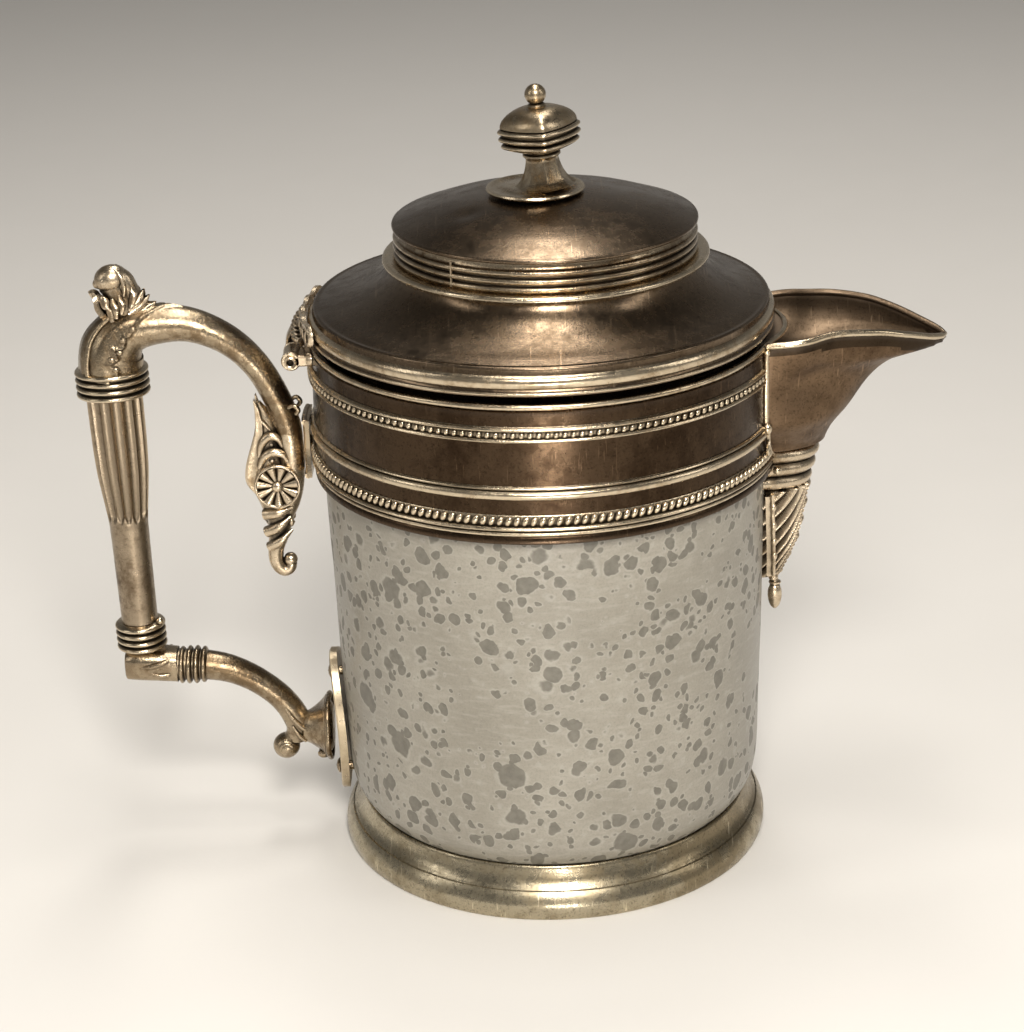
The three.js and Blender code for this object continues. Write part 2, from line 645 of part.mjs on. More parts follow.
function shoulderSeat() {
  // The shoulder of the arm with a seam's clearance, on which the thumb ornament sits.
  const stations = [[-78.3, 94.3, 6.2, 6.2], ...ARM.slice(1, 5)];
  return limb(stations.map(([x, z, a, b]) => [x, z, a + SEAM, b + SEAM]), 12, 14);
}

function thumbOrnament() {
  // A bud on an acanthus cup, seated on the shoulder of the arm.
  const stalk = limb([
    [-72.2, 106.0, 1.2, 2.2], [-74.4, 107.6, 2.3, 3.0], [-76.2, 109.4, 2.4, 2.8], [-76.7, 111.4, 1.9, 2.2],
  ], 6);
  const bud = new THREE.SphereGeometry(2.6, 12, 8).translate(-76.7, 0, 111.6);
  return cut(join(stalk, bud), shoulderSeat());
}

function ringStack({ zLow, zHigh, r, rings }, seat) {
  const pitch = (zHigh - zLow) / rings;
  const outside = [];
  for (let k = 0; k < rings; k += 1) {
    const z = zLow + k * pitch;
    outside.push([r - 0.55, z], [r, z + 0.3 * pitch], [r, z + 0.7 * pitch]);
  }
  outside.push([r - 0.55, zHigh]);
  return ring([...outside, [seat, zHigh], [seat, zLow]], FACETS_SMALL);
}

function grip() {
  // A tapered tube with round-ended flutes down its upper half, bored through.
  const { zTop, zLow, rTop, rLow, flutes } = GRIP;
  const spacing = (2 * Math.PI) / flutes;
  const zFlute = 63.6;
  const levels = [zLow, 52, 59, zFlute, 65.2, 73, 81, zTop - 0.8, zTop];
  const sections = levels.map((z) => {
    const t = (z - zLow) / (zTop - zLow);
    const r = mix(rLow, rTop, Math.pow(t, 0.85));
    const depth = z > zFlute && z < zTop ? 0.55 : 0;
    return Array.from({ length: 2 * flutes }, (_, i) => {
      const radius = r - (i % 2 ? depth : 0);
      return new THREE.Vector3(radius * Math.cos(half(spacing) * i), radius * Math.sin(half(spacing) * i), z);
    });
  });
  return cut(loft(sections), upright(GRIP_BORE, zLow - 1, zTop + 1, FACETS_TINY));
}

const gripAxis = new THREE.Group();
const lean = Math.atan2(GRIP.xTop - GRIP.xLow, GRIP.zTop - GRIP.zLow);
gripAxis.rotation.y = lean;
gripAxis.position.set(GRIP.xLow - Math.sin(lean) * GRIP.zLow, 0, GRIP.zLow * (1 - Math.cos(lean)));
pieces.add(gripAxis);

function lowerArm() {
  const bar = limb([
    [-81, 34.3, 3.3, 3.6], [-76, 34.4, 3.3, 3.6], [-70.8, 34.6, 3.3, 3.5], [-64.6, 34.4, 3.3, 3.4],
    [-60, 32.9, 2.9, 3.1], [-55.4, 30.1, 2.6, 2.9], [-51.2, 26.2, 2.5, 2.8], [-48.6, 21.6, 2.6, 2.7],
    [-49.2, 18.2, 1.8, 2.0],
  ], 16, 12);
  const curl = new THREE.SphereGeometry(2.5, 12, 8).translate(-51.4, 0, 16.4);
  const band = limb([[-70.8, 34.6, 3.7, 4.0], [-64.8, 34.4, 3.7, 4.0]], 1, 12);
  return cut(join(bar, band, curl), padBlank(SEAM));
}

function padBlank(extra) {
  const { z, r, neck, xNeck, rFace } = PAD;
  const reach = -40 - xNeck;
  const outline = [
    [0, 0], [r + extra, 0], [r + extra, reach - 5.4], [r - 1.6 + extra, reach - 4.2],
    [neck + 0.6 + extra, reach - 2.2], [neck + extra, reach + extra], [0, reach + extra],
  ];
  const bell = turned(outline, FACETS_SMALL).rotateY(-Math.PI / 2).translate(-40, 0, z);
  return cut(bell, collarClearanceLow(rFace));
}

function collarClearanceLow(r) {
  return turned([[0, 0], [r, 0], [r, 60], [0, 60]], 2 * FACETS);
}

function ovalPlate() {
  const { z, halfHigh, halfWide, rIn, thick, lean: flare } = PLATE;
  const [low, high] = [z - halfHigh - 1, z + halfHigh + 1];
  const wall = ring([
    [rIn - flare, low], [rIn - flare + thick, low], [rIn + flare + thick, high], [rIn + flare, high],
  ]);
  const oval = new THREE.CylinderGeometry(1, 1, 14, 24).rotateZ(Math.PI / 2).scale(1, halfWide, halfHigh);
  return cut(common(wall, oval.translate(-42, 0, z)), ...rivetHoles());
}

function rodX(r, x0, x1, z) {
  const rod = new THREE.CylinderGeometry(r, r, x1 - x0, FACETS_TINY).rotateZ(Math.PI / 2);
  return rod.translate(half(x0 + x1), 0, z);
}

function rivetHoles() {
  return Object.values(RIVETS).map(({ z }) => rodX(RIVET.shank + SEAM, -46, -32, z));
}

function rivet({ z, xOut, xIn }) {
  // A shank through plate and pot, with a head outside and a smaller clenched one inside.
  const { shank, head, inner, headThick } = RIVET;
  const outer = rodX(head, -xOut - headThick, -xOut, z);
  const clench = rodX(inner, -xIn + 0.1, -xIn + headThick, z);
  return join(outer, rodX(shank, -xOut - 0.1, -xIn + 0.3, z), clench);
}

function strap() {
  const { rIn, rOut, zLow, zHigh, half: wide } = STRAP;
  const band = ring([[rIn, zLow], [rOut, zLow], [rOut, zHigh], [rIn, zHigh]], 2 * FACETS);
  return common(band, block(-50, -30, -wide, wide, zLow - 1, zHigh + 1));
}

function acanthusDrop() {
  // Leaf, boss and curled tail that hang from the inner side of the upper arm.
  const leafBar = limb([
    [-52.6, 86.6, 0.5, 1.0], [-53.2, 82, 1.2, 2.0], [-52.6, 77, 2.3, 2.7], [-50.8, 73, 3.6, 2.9],
    [-49.8, 69.6, 4.2, 2.9], [-49.5, 65.6, 2.8, 2.6], [-50.2, 61.2, 2.3, 2.2], [-51.2, 57.4, 1.5, 1.5],
    [-51.1, 54.2, 1.1, 1.2], [-49.6, 52.9, 1.0, 1.1], [-48.4, 54.4, 0.9, 1.0],
  ], 20);
  return cut(leafBar, innerArmBlank());
}

function innerArmBlank() {
  // The falling end of the arm with the clearance that the ornament behind it keeps.
  const clearance = 0.2;
  return limb(ARM.slice(5).map(([x, z, a, b]) => [x, z, a + clearance, b + clearance]), 12, 14);
}

function rosette(side) {
  const { x, z, r, thick, y } = ROSETTE;
  const dish = [[r, half(thick)], [r - 0.6, thick], [1.6, half(thick)]];
  const button = [[1.2, 1.2 * thick], [0, 1.5 * thick]];
  const disc = turned([[0, 0], [r, 0], ...dish, ...button], FACETS_SMALL);
  return disc.rotateX(side > 0 ? -Math.PI / 2 : Math.PI / 2).translate(x, side * y, z);
}

place('handle_upper_arm', upperArm(), PLATED);
place('thumb_ornament', thumbOrnament(), PLATED);
place('upper_ferrule', ringStack(FERRULE_TOP, 3), PLATED, gripAxis);
place('handle_grip', grip(), DULL, gripAxis);
place('lower_ferrule', ringStack(FERRULE_LOW, 2.4), PLATED, gripAxis);
place('handle_lower_arm', lowerArm(), PLATED);
place('handle_bell_pad', padBlank(0), PLATED);
place('handle_oval_plate', ovalPlate(), PLATED);
place('plate_rivet_upper', rivet(RIVETS.upper), PLATED);
place('plate_rivet_lower', rivet(RIVETS.lower), PLATED);
place('handle_collar_strap', strap(), PLATED);
place('acanthus_drop', acanthusDrop(), PLATED);
place('rosette_near', rosette(-1), PLATED);
place('rosette_far', rosette(1), PLATED);

// ---------------------------------------------------------------- origin

const jug = new THREE.Group();
jug.add(pieces);
jug.updateMatrixWorld(true);
const extent = new THREE.Box3().setFromObject(jug, true);
pieces.position.x = -half(extent.min.x + extent.max.x);

export default jug;
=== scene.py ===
"""Lidded cream jug: an enamelled pot dressed with silver-plated mounts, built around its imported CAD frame.

Shapes are drawn in millimetres about the axis of the pot, heights from the table, spout towards +X,
and are moved into the frame as each piece is made.
"""

import math

import bmesh
import bpy
from mathutils import Matrix, Vector, noise


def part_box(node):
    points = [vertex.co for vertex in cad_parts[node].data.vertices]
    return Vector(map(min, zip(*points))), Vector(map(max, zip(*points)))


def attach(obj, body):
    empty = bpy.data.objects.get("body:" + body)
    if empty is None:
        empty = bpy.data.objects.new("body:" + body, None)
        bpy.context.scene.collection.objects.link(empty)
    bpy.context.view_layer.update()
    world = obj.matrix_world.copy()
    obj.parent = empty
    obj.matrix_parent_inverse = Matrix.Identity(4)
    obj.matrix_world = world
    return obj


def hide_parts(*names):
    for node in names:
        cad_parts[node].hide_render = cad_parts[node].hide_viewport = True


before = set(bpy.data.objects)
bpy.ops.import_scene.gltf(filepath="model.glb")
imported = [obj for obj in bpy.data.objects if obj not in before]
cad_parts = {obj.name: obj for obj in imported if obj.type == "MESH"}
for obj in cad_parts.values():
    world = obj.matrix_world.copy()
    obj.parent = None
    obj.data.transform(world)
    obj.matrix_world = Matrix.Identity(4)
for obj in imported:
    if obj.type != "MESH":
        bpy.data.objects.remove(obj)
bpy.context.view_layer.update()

MM = 0.001
TAU = 2 * math.pi

foot_low, foot_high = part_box("foot_ring")
AXIS_X = (foot_low.x + foot_high.x) / 2


def show(name, data):
    """Puts an object with this data into the scene."""
    thing = bpy.data.objects.new(name, data)
    bpy.context.scene.collection.objects.link(thing)
    return thing


# ------------------------------------------------------------------ camera

CAMERA = {"lens": 90.7, "sensor": 36.0, "distance": 0.4793, "elevation": 20.75, "roll": -1.67}
AIM_HEIGHT = 77.5 * MM  # the point on the pot's axis that the camera is placed around
AIM_RIGHT = 0.714       # degrees that this point stands right of the view's centre
AIM_UP = 1.63           # degrees that it stands above the centre


def make_camera():
    tilt, roll = math.radians(CAMERA["elevation"]), math.radians(CAMERA["roll"])
    pan, rise = math.radians(AIM_RIGHT), math.radians(AIM_UP)
    away = Vector((0, -math.cos(tilt), math.sin(tilt)))
    forward = -away
    right = Vector((1, 0, 0))
    up = right.cross(forward)
    level = Matrix((right, -up, forward))
    rolled = Matrix((
        (math.cos(roll), -math.sin(roll), 0),
        (math.sin(roll), math.cos(roll), 0),
        (0, 0, 1),
    ))
    raised = Matrix(((1, 0, 0), (0, math.cos(rise), -math.sin(rise)), (0, math.sin(rise), math.cos(rise))))
    panned = Matrix(((math.cos(pan), 0, math.sin(pan)), (0, 1, 0), (-math.sin(pan), 0, math.cos(pan))))
    rows = panned @ raised @ rolled @ level
    place = Matrix((rows[0], -rows[1], -rows[2])).transposed().to_4x4()
    place.translation = Vector((AXIS_X, 0, AIM_HEIGHT)) + CAMERA["distance"] * away
    data = bpy.data.cameras.new("camera")
    data.lens = CAMERA["lens"]
    data.sensor_width = CAMERA["sensor"]
    data.clip_start = 0.01
    data.clip_end = 20
    camera = show("camera", data)
    camera.matrix_world = place
    bpy.context.scene.camera = camera


make_camera()

# ------------------------------------------------------------------ number helpers


def mix(a, b, t):
    return a + (b - a) * t


def smoothstep(v, low, high):
    t = max(0.0, min(1.0, (v - low) / (high - low)))
    return t * t * (3 - 2 * t)


def spread(low, high, count):
    return [mix(low, high, i / (count - 1)) for i in range(count)]


def hermite(p0, p1, m0, m1, t):
    t2, t3 = t * t, t * t * t
    return (2 * t3 - 3 * t2 + 1) * p0 + (t3 - 2 * t2 + t) * m0 + (3 * t2 - 2 * t3) * p1 + (t3 - t2) * m1


def ramp(points, at):
    """Smooth height at one abscissa of the curve through points, never overshooting a monotone run."""
    if at <= points[0][0]:
        return points[0][1]
    if at >= points[-1][0]:
        return points[-1][1]
    slopes = [(b[1] - a[1]) / (b[0] - a[0]) for a, b in zip(points, points[1:])]
    tangents = [slopes[0]]
    for left, right in zip(slopes, slopes[1:]):
        tangents.append(0.0 if left * right <= 0 else 2 * left * right / (left + right))
    tangents.append(slopes[-1])
    for i, (a, b) in enumerate(zip(points, points[1:])):
        if at <= b[0]:
            width = b[0] - a[0]
            return hermite(a[1], b[1], tangents[i] * width, tangents[i + 1] * width, (at - a[0]) / width)


def spline(points, steps):
    """Points along a Catmull-Rom curve through tuples of any length, steps to a span."""
    known = [tuple(p) for p in points]
    ends = [tuple(2 * a - b for a, b in zip(known[0], known[1]))]
    ends += known
    ends.append(tuple(2 * a - b for a, b in zip(known[-1], known[-2])))
    out = []
    for k in range(1, len(ends) - 2):
        for i in range(steps):
            t = i / steps
            out.append(tuple(
                hermite(b, c, (c - a) / 2, (d - b) / 2, t)
                for a, b, c, d in zip(*ends[k - 1:k + 3])
            ))
    out.append(known[-1])
    return out


def arc(cx, cz, rx, rz, start, stop, count):
    """Points of an elliptical arc, in degrees from the outward direction."""
    angles = [math.radians(a) for a in spread(start, stop, count)]
    return [(cx + rx * math.cos(a), cz + rz * math.sin(a)) for a in angles]


def mirrored(points, side):
    """The points as drawn where side is 1, and on the other side of the jug's middle plane where it is -1."""
    return [(x, side * y, z) for x, y, z in points]


# ------------------------------------------------------------------ mesh helpers


class Shape:
    """Points in millimetres about the pot's axis, and the faces on them."""

    def __init__(self):
        self.points = []
        self.faces = []
        self.finish = []

    def add(self, points, faces, finish=0):
        base = len(self.points)
        self.points += [Vector(p) for p in points]
        self.faces += [tuple(i + base for i in face) for face in faces]
        self.finish += [finish] * len(faces)
        return self

    def join(self, other, matrix=None):
        base = len(self.points)
        self.points += [matrix @ p if matrix else p.copy() for p in other.points]
        self.faces += [tuple(i + base for i in face) for face in other.faces]
        self.finish += other.finish
        return self

    def moved(self, matrix):
        return Shape().join(self, matrix)

    def warped(self, rule):
        out = Shape().join(self)
        out.points = [Vector(rule(p)) for p in out.points]
        return out


def grid_faces(rows, cols, wrap_cols=False, wrap_rows=False):
    faces = []
    for j in range(rows if wrap_rows else rows - 1):
        for i in range(cols if wrap_cols else cols - 1):
            a = j * cols + i
            b = j * cols + (i + 1) % cols
            c = ((j + 1) % rows) * cols + (i + 1) % cols
            d = ((j + 1) % rows) * cols + i
            faces.append((a, b, c, d))
    return faces


def lathe(profile, segments=192, closed=False, start=0.0, stop=TAU, swell=None):
    """A profile of (radius, height) turned about Z. swell(angle, index, r, z) gives back a new (r, z)."""
    whole = abs(stop - start - TAU) < 1e-6
    count = segments if whole else segments + 1
    rows = []
    for i in range(count):
        angle = start + (stop - start) * i / segments
        cos, sin = math.cos(angle), math.sin(angle)
        for j, (r, z) in enumerate(profile):
            if swell:
                r, z = swell(angle, j, r, z)
            rows.append((r * cos, r * sin, z))
    size = len(profile)
    shape = Shape().add(rows, grid_faces(count, size, wrap_cols=closed, wrap_rows=whole))
    if closed and not whole:
        last = (count - 1) * size
        shape.faces += [tuple(range(size)), tuple(last + i for i in reversed(range(size)))]
        shape.finish += [0, 0]
    return shape


def loft(rings):
    """A skin over rings of equal point count, closed by its first and last ring."""
    size = len(rings[0])
    last = (len(rings) - 1) * size
    shape = Shape().add([p for ring in rings for p in ring], grid_faces(len(rings), size, wrap_cols=True))
    shape.faces += [tuple(reversed(range(size))), tuple(last + i for i in range(size))]
    shape.finish += [0, 0]
    return shape


def frames_along(path, side=None):
    """(point, normal, binormal) along a path; the binormal stays near side."""
    out = []
    guide = Vector(side) if side else None
    for i, p in enumerate(path):
        ahead = path[min(i + 1, len(path) - 1)]
        behind = path[max(i - 1, 0)]
        along = (Vector(ahead) - Vector(behind)).normalized()
        if guide is None:
            guide = along.orthogonal()
        binormal = guide - along * guide.dot(along)
        if binormal.length < 1e-6:
            binormal = along.orthogonal()
        binormal.normalize()
        if not side:
            guide = binormal
        out.append((Vector(p), binormal.cross(along).normalized(), binormal))
    return out


def sweep(path, size, sides=16, side=None, section=None):
    """A bar along a path. size(t) gives its half thickness along the normal and its half width along the
    binormal, and section(t, angle) a factor on both."""
    rings = []
    for i, (at, normal, binormal) in enumerate(frames_along(path, side)):
        t = i / (len(path) - 1)
        thick, wide = size(t)
        ring = []
        for k in range(sides):
            angle = TAU * k / sides
            scale = section(t, angle) if section else 1.0
            out = normal * (thick * scale * math.cos(angle))
            ring.append(at + out + binormal * (wide * scale * math.sin(angle)))
        rings.append(ring)
    return loft(rings)


def ball(centre, axes, rows=10, cols=16):
    """An ellipsoid with three given half axes."""
    ax, ay, az = [Vector(v) for v in axes]
    points = []
    for j in range(rows + 1):
        lat = math.pi * j / rows - math.pi / 2
        for i in range(cols):
            lon = TAU * i / cols
            points.append(
                Vector(centre) + ax * (math.cos(lat) * math.cos(lon))
                + ay * (math.cos(lat) * math.sin(lon)) + az * math.sin(lat)
            )
    return Shape().add(points, grid_faces(rows + 1, cols, wrap_cols=True))


def egg(centre, half, rows=10, cols=16):
    """An ellipsoid with its three half axes along X, Y and Z."""
    x, y, z = half
    return ball(centre, ((x, 0, 0), (0, y, 0), (0, 0, z)), rows, cols)


def sphere(centre, radius, rows=10, cols=16):
    return egg(centre, (radius, radius, radius), rows, cols)


def tapered(points, sizes, sides=12, side=None, steps=6, flat=1.0):
    """A round or flattened wire through points, its radius following sizes."""
    path = spline(points, steps)
    widths = spline([(s,) for s in sizes], steps)

    def size(t):
        radius = widths[min(round(t * (len(widths) - 1)), len(widths) - 1)][0]
        return max(radius, 0.02) * flat, max(radius, 0.02)

    return sweep(path, size, sides, side)


def leaf(points, widths, thick=0.35, side=(0, 1, 0), steps=7, across=9, ribs=0, curl=0.25):
    """A curved leaf blade: a spine with a half width at each point, crowned across and veined along."""
    path = spline(points, steps)
    spans = spline([(w,) for w in widths], steps)
    tops, backs = [], []
    for i, (at, normal, binormal) in enumerate(frames_along(path, side)):
        half = max(spans[i][0], 0.03)
        for k in range(across):
            s = 2 * k / (across - 1) - 1
            vein = 0.16 * math.cos(math.pi * ribs * s) if ribs else 0
            rim = math.sqrt(max(0.0, 1 - s ** 4))
            crown = (-curl * half * s * s) + (vein + thick) * rim
            tops.append(at + binormal * (half * s) + normal * crown)
            backs.append(at + binormal * (half * s) + normal * (-curl * half * s * s - 0.5 * thick * rim))
    rows = len(path)
    offset = rows * across
    faces = grid_faces(rows, across)
    faces += [tuple(offset + i for i in reversed(face)) for face in faces]
    for j in range(rows - 1):
        for edge in (0, across - 1):
            a, b = j * across + edge, (j + 1) * across + edge
            quad = (a, b, offset + b, offset + a)
            faces.append(quad if edge else tuple(reversed(quad)))
    for row in (0, rows - 1):
        for k in range(across - 1):
            a, b = row * across + k, row * across + k + 1
            quad = (a, b, offset + b, offset + a)
            faces.append(tuple(reversed(quad)) if row else quad)
    return Shape().add(tops + backs, faces)


def dent(shape, amount, size, seed=0.0):
    """The soft unevenness of old sheet metal: points shift along their radius by smooth noise."""

    def rule(p):
        away = Vector((p.x, p.y, 0))
        if away.length < 1e-6:
            return p
        return p + away.normalized() * (amount * noise.noise(p / size + Vector((seed, seed, seed))))

    return shape.warped(rule)


def frame_mesh(name, shape):
    """A mesh of the shape, in metres and in the shared frame."""
    mesh = bpy.data.meshes.new(name)
    mesh.from_pydata([(AXIS_X + p.x * MM, p.y * MM, p.z * MM) for p in shape.points], [], shape.faces)
    return mesh


def piece(name, shape, body, slot, *materials, sharp=38.0):
    """Makes the mesh object of a shape in the frame, sets it on the body it rides on and hides the CAD part
    it stands for.
    """
    mesh = frame_mesh(name, shape)
    for material in materials:
        mesh.materials.append(material)
    mesh.polygons.foreach_set("material_index", shape.finish)
    tidy(mesh)
    mesh.shade_smooth()
    mesh.set_sharp_from_angle(angle=math.radians(sharp))
    thing = show(name, mesh)
    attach(thing, body)
    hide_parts(name.removesuffix("_look"))
    return thing


def tidy(mesh):
    """Welds doubled points, drops flat faces and turns every face outwards."""
    work = bmesh.new()
    work.from_mesh(mesh)
    bmesh.ops.remove_doubles(work, verts=work.verts, dist=2e-6)
    bmesh.ops.dissolve_degenerate(work, edges=work.edges, dist=1e-6)
    bmesh.ops.recalc_face_normals(work, faces=work.faces)
    work.to_mesh(mesh)
    work.free()
    mesh.update()


# ------------------------------------------------------------------ material helpers


class Nodes:
    """A material's node tree, filled through short calls."""

    def __init__(self, name):
        self.material = bpy.data.materials.new(name)
        self.material.use_nodes = True
        self.tree = self.material.node_tree
        self.tree.nodes.clear()
        self.place = self.node("ShaderNodeTexCoord").outputs["Object"]

    def node(self, kind, settings=None, **sockets):
        made = self.tree.nodes.new(kind)
        for key, value in (settings or {}).items():
            setattr(made, key, value)
        for key, value in sockets.items():
            self.set(made.inputs[key.replace("_", " ")], value)
        return made

    def set(self, socket, value):
        if isinstance(value, bpy.types.NodeSocket):
            self.tree.links.new(value, socket)
        else:
            socket.default_value = value

    def noise(self, scale, detail=3.0, rough=0.5, vector=None):
        made = self.node("ShaderNodeTexNoise", Scale=scale, Detail=detail, Roughness=rough)
        self.set(made.inputs["Vector"], vector or self.place)
        return made.outputs["Fac"]

    def stretched(self, x, y, z):
        made = self.node("ShaderNodeMapping", Vector=self.place)
        made.inputs["Scale"].default_value = (x, y, z)
        return made.outputs["Vector"]

    def math(self, operation, a, b=0.0, limit=False):
        made = self.node("ShaderNodeMath", {"operation": operation, "use_clamp": limit})
        self.set(made.inputs[0], a)
        self.set(made.inputs[1], b)
        return made.outputs[0]

    def remap(self, value, low, high, start=0.0, stop=1.0, smooth=False):
        made = self.node("ShaderNodeMapRange", {"interpolation_type": "SMOOTHSTEP" if smooth else "LINEAR"})
        self.set(made.inputs["Value"], value)
        made.inputs["From Min"].default_value = low
        made.inputs["From Max"].default_value = high
        made.inputs["To Min"].default_value = start
        made.inputs["To Max"].default_value = stop
        return made.outputs["Result"]

    def colours(self, factor, a, b):
        made = self.node("ShaderNodeMix", {"data_type": "RGBA"})
        self.set(made.inputs[0], factor)
        for index, colour in ((6, a), (7, b)):
            socket = made.inputs[index]
            self.set(socket, colour if isinstance(colour, bpy.types.NodeSocket) else (*colour, 1.0))
        return made.outputs[2]

    def crevice(self, reach, low=0.5, high=0.95):
        """1 in narrow recesses and 0 on open surfaces."""
        made = self.node("ShaderNodeAmbientOcclusion", {"only_local": True, "samples": 6}, Distance=reach)
        return self.remap(made.outputs["AO"], low, high, 1.0, 0.0)

    def over(self, colour, mask, share, other, limit=False):
        """The colour, with a share of the other laid over it where mask is 1."""
        return self.colours(self.math("MULTIPLY", mask, share, limit), colour, other)

    def edges(self, low, high):
        """1 on convex edges and 0 on flat surfaces."""
        return self.remap(self.node("ShaderNodeNewGeometry").outputs["Pointiness"], low, high)

    def bump(self, height, depth, before=None):
        made = self.node("ShaderNodeBump", Strength=1.0, Distance=depth, Height=height)
        if before:
            self.set(made.inputs["Normal"], before)
        return made.outputs["Normal"]

    def finish(self, colour, rough, normal, metallic=0.0, **extra):
        shader = self.node("ShaderNodeBsdfPrincipled", Base_Color=colour, Roughness=rough, Normal=normal)
        shader.inputs["Metallic"].default_value = metallic
        for key, value in extra.items():
            shader.inputs[key.replace("_", " ")].default_value = value
        out = self.node("ShaderNodeOutputMaterial")
        self.tree.links.new(shader.outputs["BSDF"], out.inputs["Surface"])
        return self.material


def lighter(colour, gain, lift=0.0):
    return tuple(min(1.0, gain * c + lift) for c in colour)


def plated(name, bright, stain, deep, rough, cover=(0.46, 0.64), reach=0.0011, pit=0.00002, grain=0.00006):
    """Old plate: clear metal, clouds of brown stain over it, and painted shade laid dark into the recesses.
    """
    n = Nodes(name)
    cloud = n.noise(70, 5, 0.6)
    mottle = n.noise(520, 6, 0.68)
    speck = n.noise(3200, 3, 0.6)
    both = n.math("ADD", n.math("MULTIPLY", cloud, 0.55), n.math("MULTIPLY", mottle, 0.45))
    stain_and_shadow = n.remap(both, *cover, smooth=True)
    colour = n.colours(stain_and_shadow, bright, stain)
    colour = n.over(colour, n.remap(speck, 0.56, 0.72), 0.35, deep)
    colour = n.over(colour, n.edges(0.515, 0.58), 0.6, lighter(bright, 1.25, 0.03))
    # Painted shade: recesses found by ambient occlusion are darkened towards the deep colour.
    hollow = n.crevice(reach)
    colour = n.over(colour, hollow, 0.92, deep)
    uneven = n.remap(mottle, 0.3, 0.7, rough - 0.07, rough + 0.12)
    roughness = n.math("ADD", uneven, n.math("MULTIPLY", hollow, 0.25), limit=True)
    normal = n.bump(mottle, grain)
    normal = n.bump(speck, pit, normal)
    return n.finish(colour, roughness, normal, metallic=1.0)


def turned_sheet(name, bright, stain, deep, rough, cover=(0.42, 0.62), lines=0.00001, dull=0.0):
    """Spun sheet: faint turning lines, broad stain clouds, fine scratches and dark specks."""
    n = Nodes(name)
    cloud = n.noise(38, 4, 0.55)
    mottle = n.noise(300, 7, 0.7)
    speck = n.noise(2100, 4, 0.65)
    rows = n.noise(1.0, 2, 0.5, n.stretched(90, 90, 9000))
    hair = n.noise(1.0, 2, 0.5, n.stretched(2600, 60, 240))
    both = n.math("ADD", n.math("MULTIPLY", cloud, 0.6), n.math("MULTIPLY", mottle, 0.4))
    colour = n.colours(n.remap(both, *cover, smooth=True), bright, stain)
    colour = n.over(colour, n.remap(speck, 0.53, 0.68), 0.55, deep)
    colour = n.over(colour, n.remap(hair, 0.66, 0.72), 0.45, lighter(bright, 2.2))
    colour = n.over(colour, n.edges(0.52, 0.6), 0.5, lighter(bright, 2.0, 0.05))
    # Painted shade: recesses found by ambient occlusion are darkened towards the deep colour.
    colour = n.over(colour, n.crevice(0.0016), 0.9, deep)
    uneven = n.remap(mottle, 0.3, 0.7, rough - 0.06, rough + 0.14)
    roughness = n.math("ADD", uneven, n.math("MULTIPLY", cloud, 0.1 + dull), limit=True)
    normal = n.bump(rows, lines)
    normal = n.bump(mottle, 0.00003, normal)
    normal = n.bump(speck, 0.000012, normal)
    return n.finish(colour, roughness, normal, metallic=1.0)


GREY, PALE_GREY = (0.226, 0.209, 0.171), (0.312, 0.291, 0.244)
GREY_GRAIN, GREY_STREAK, GREY_HALO = (0.13, 0.12, 0.1), (0.375, 0.352, 0.305), (0.385, 0.37, 0.33)
ISLAND, PALE_ISLAND = (0.105, 0.097, 0.078), (0.158, 0.147, 0.12)
# The second colour is painted shade, laid into the enamel's recesses.
CHIPPED, RECESS_SHADE = (0.012, 0.01, 0.009), (0.05, 0.04, 0.03)
# Scale of the cells, and the least and most radius of an island in them.
ISLAND_SIZES = ((150.0, 0.0, 0.42), (270.0, 0.14, 0.52), (420.0, 0.24, 0.55))


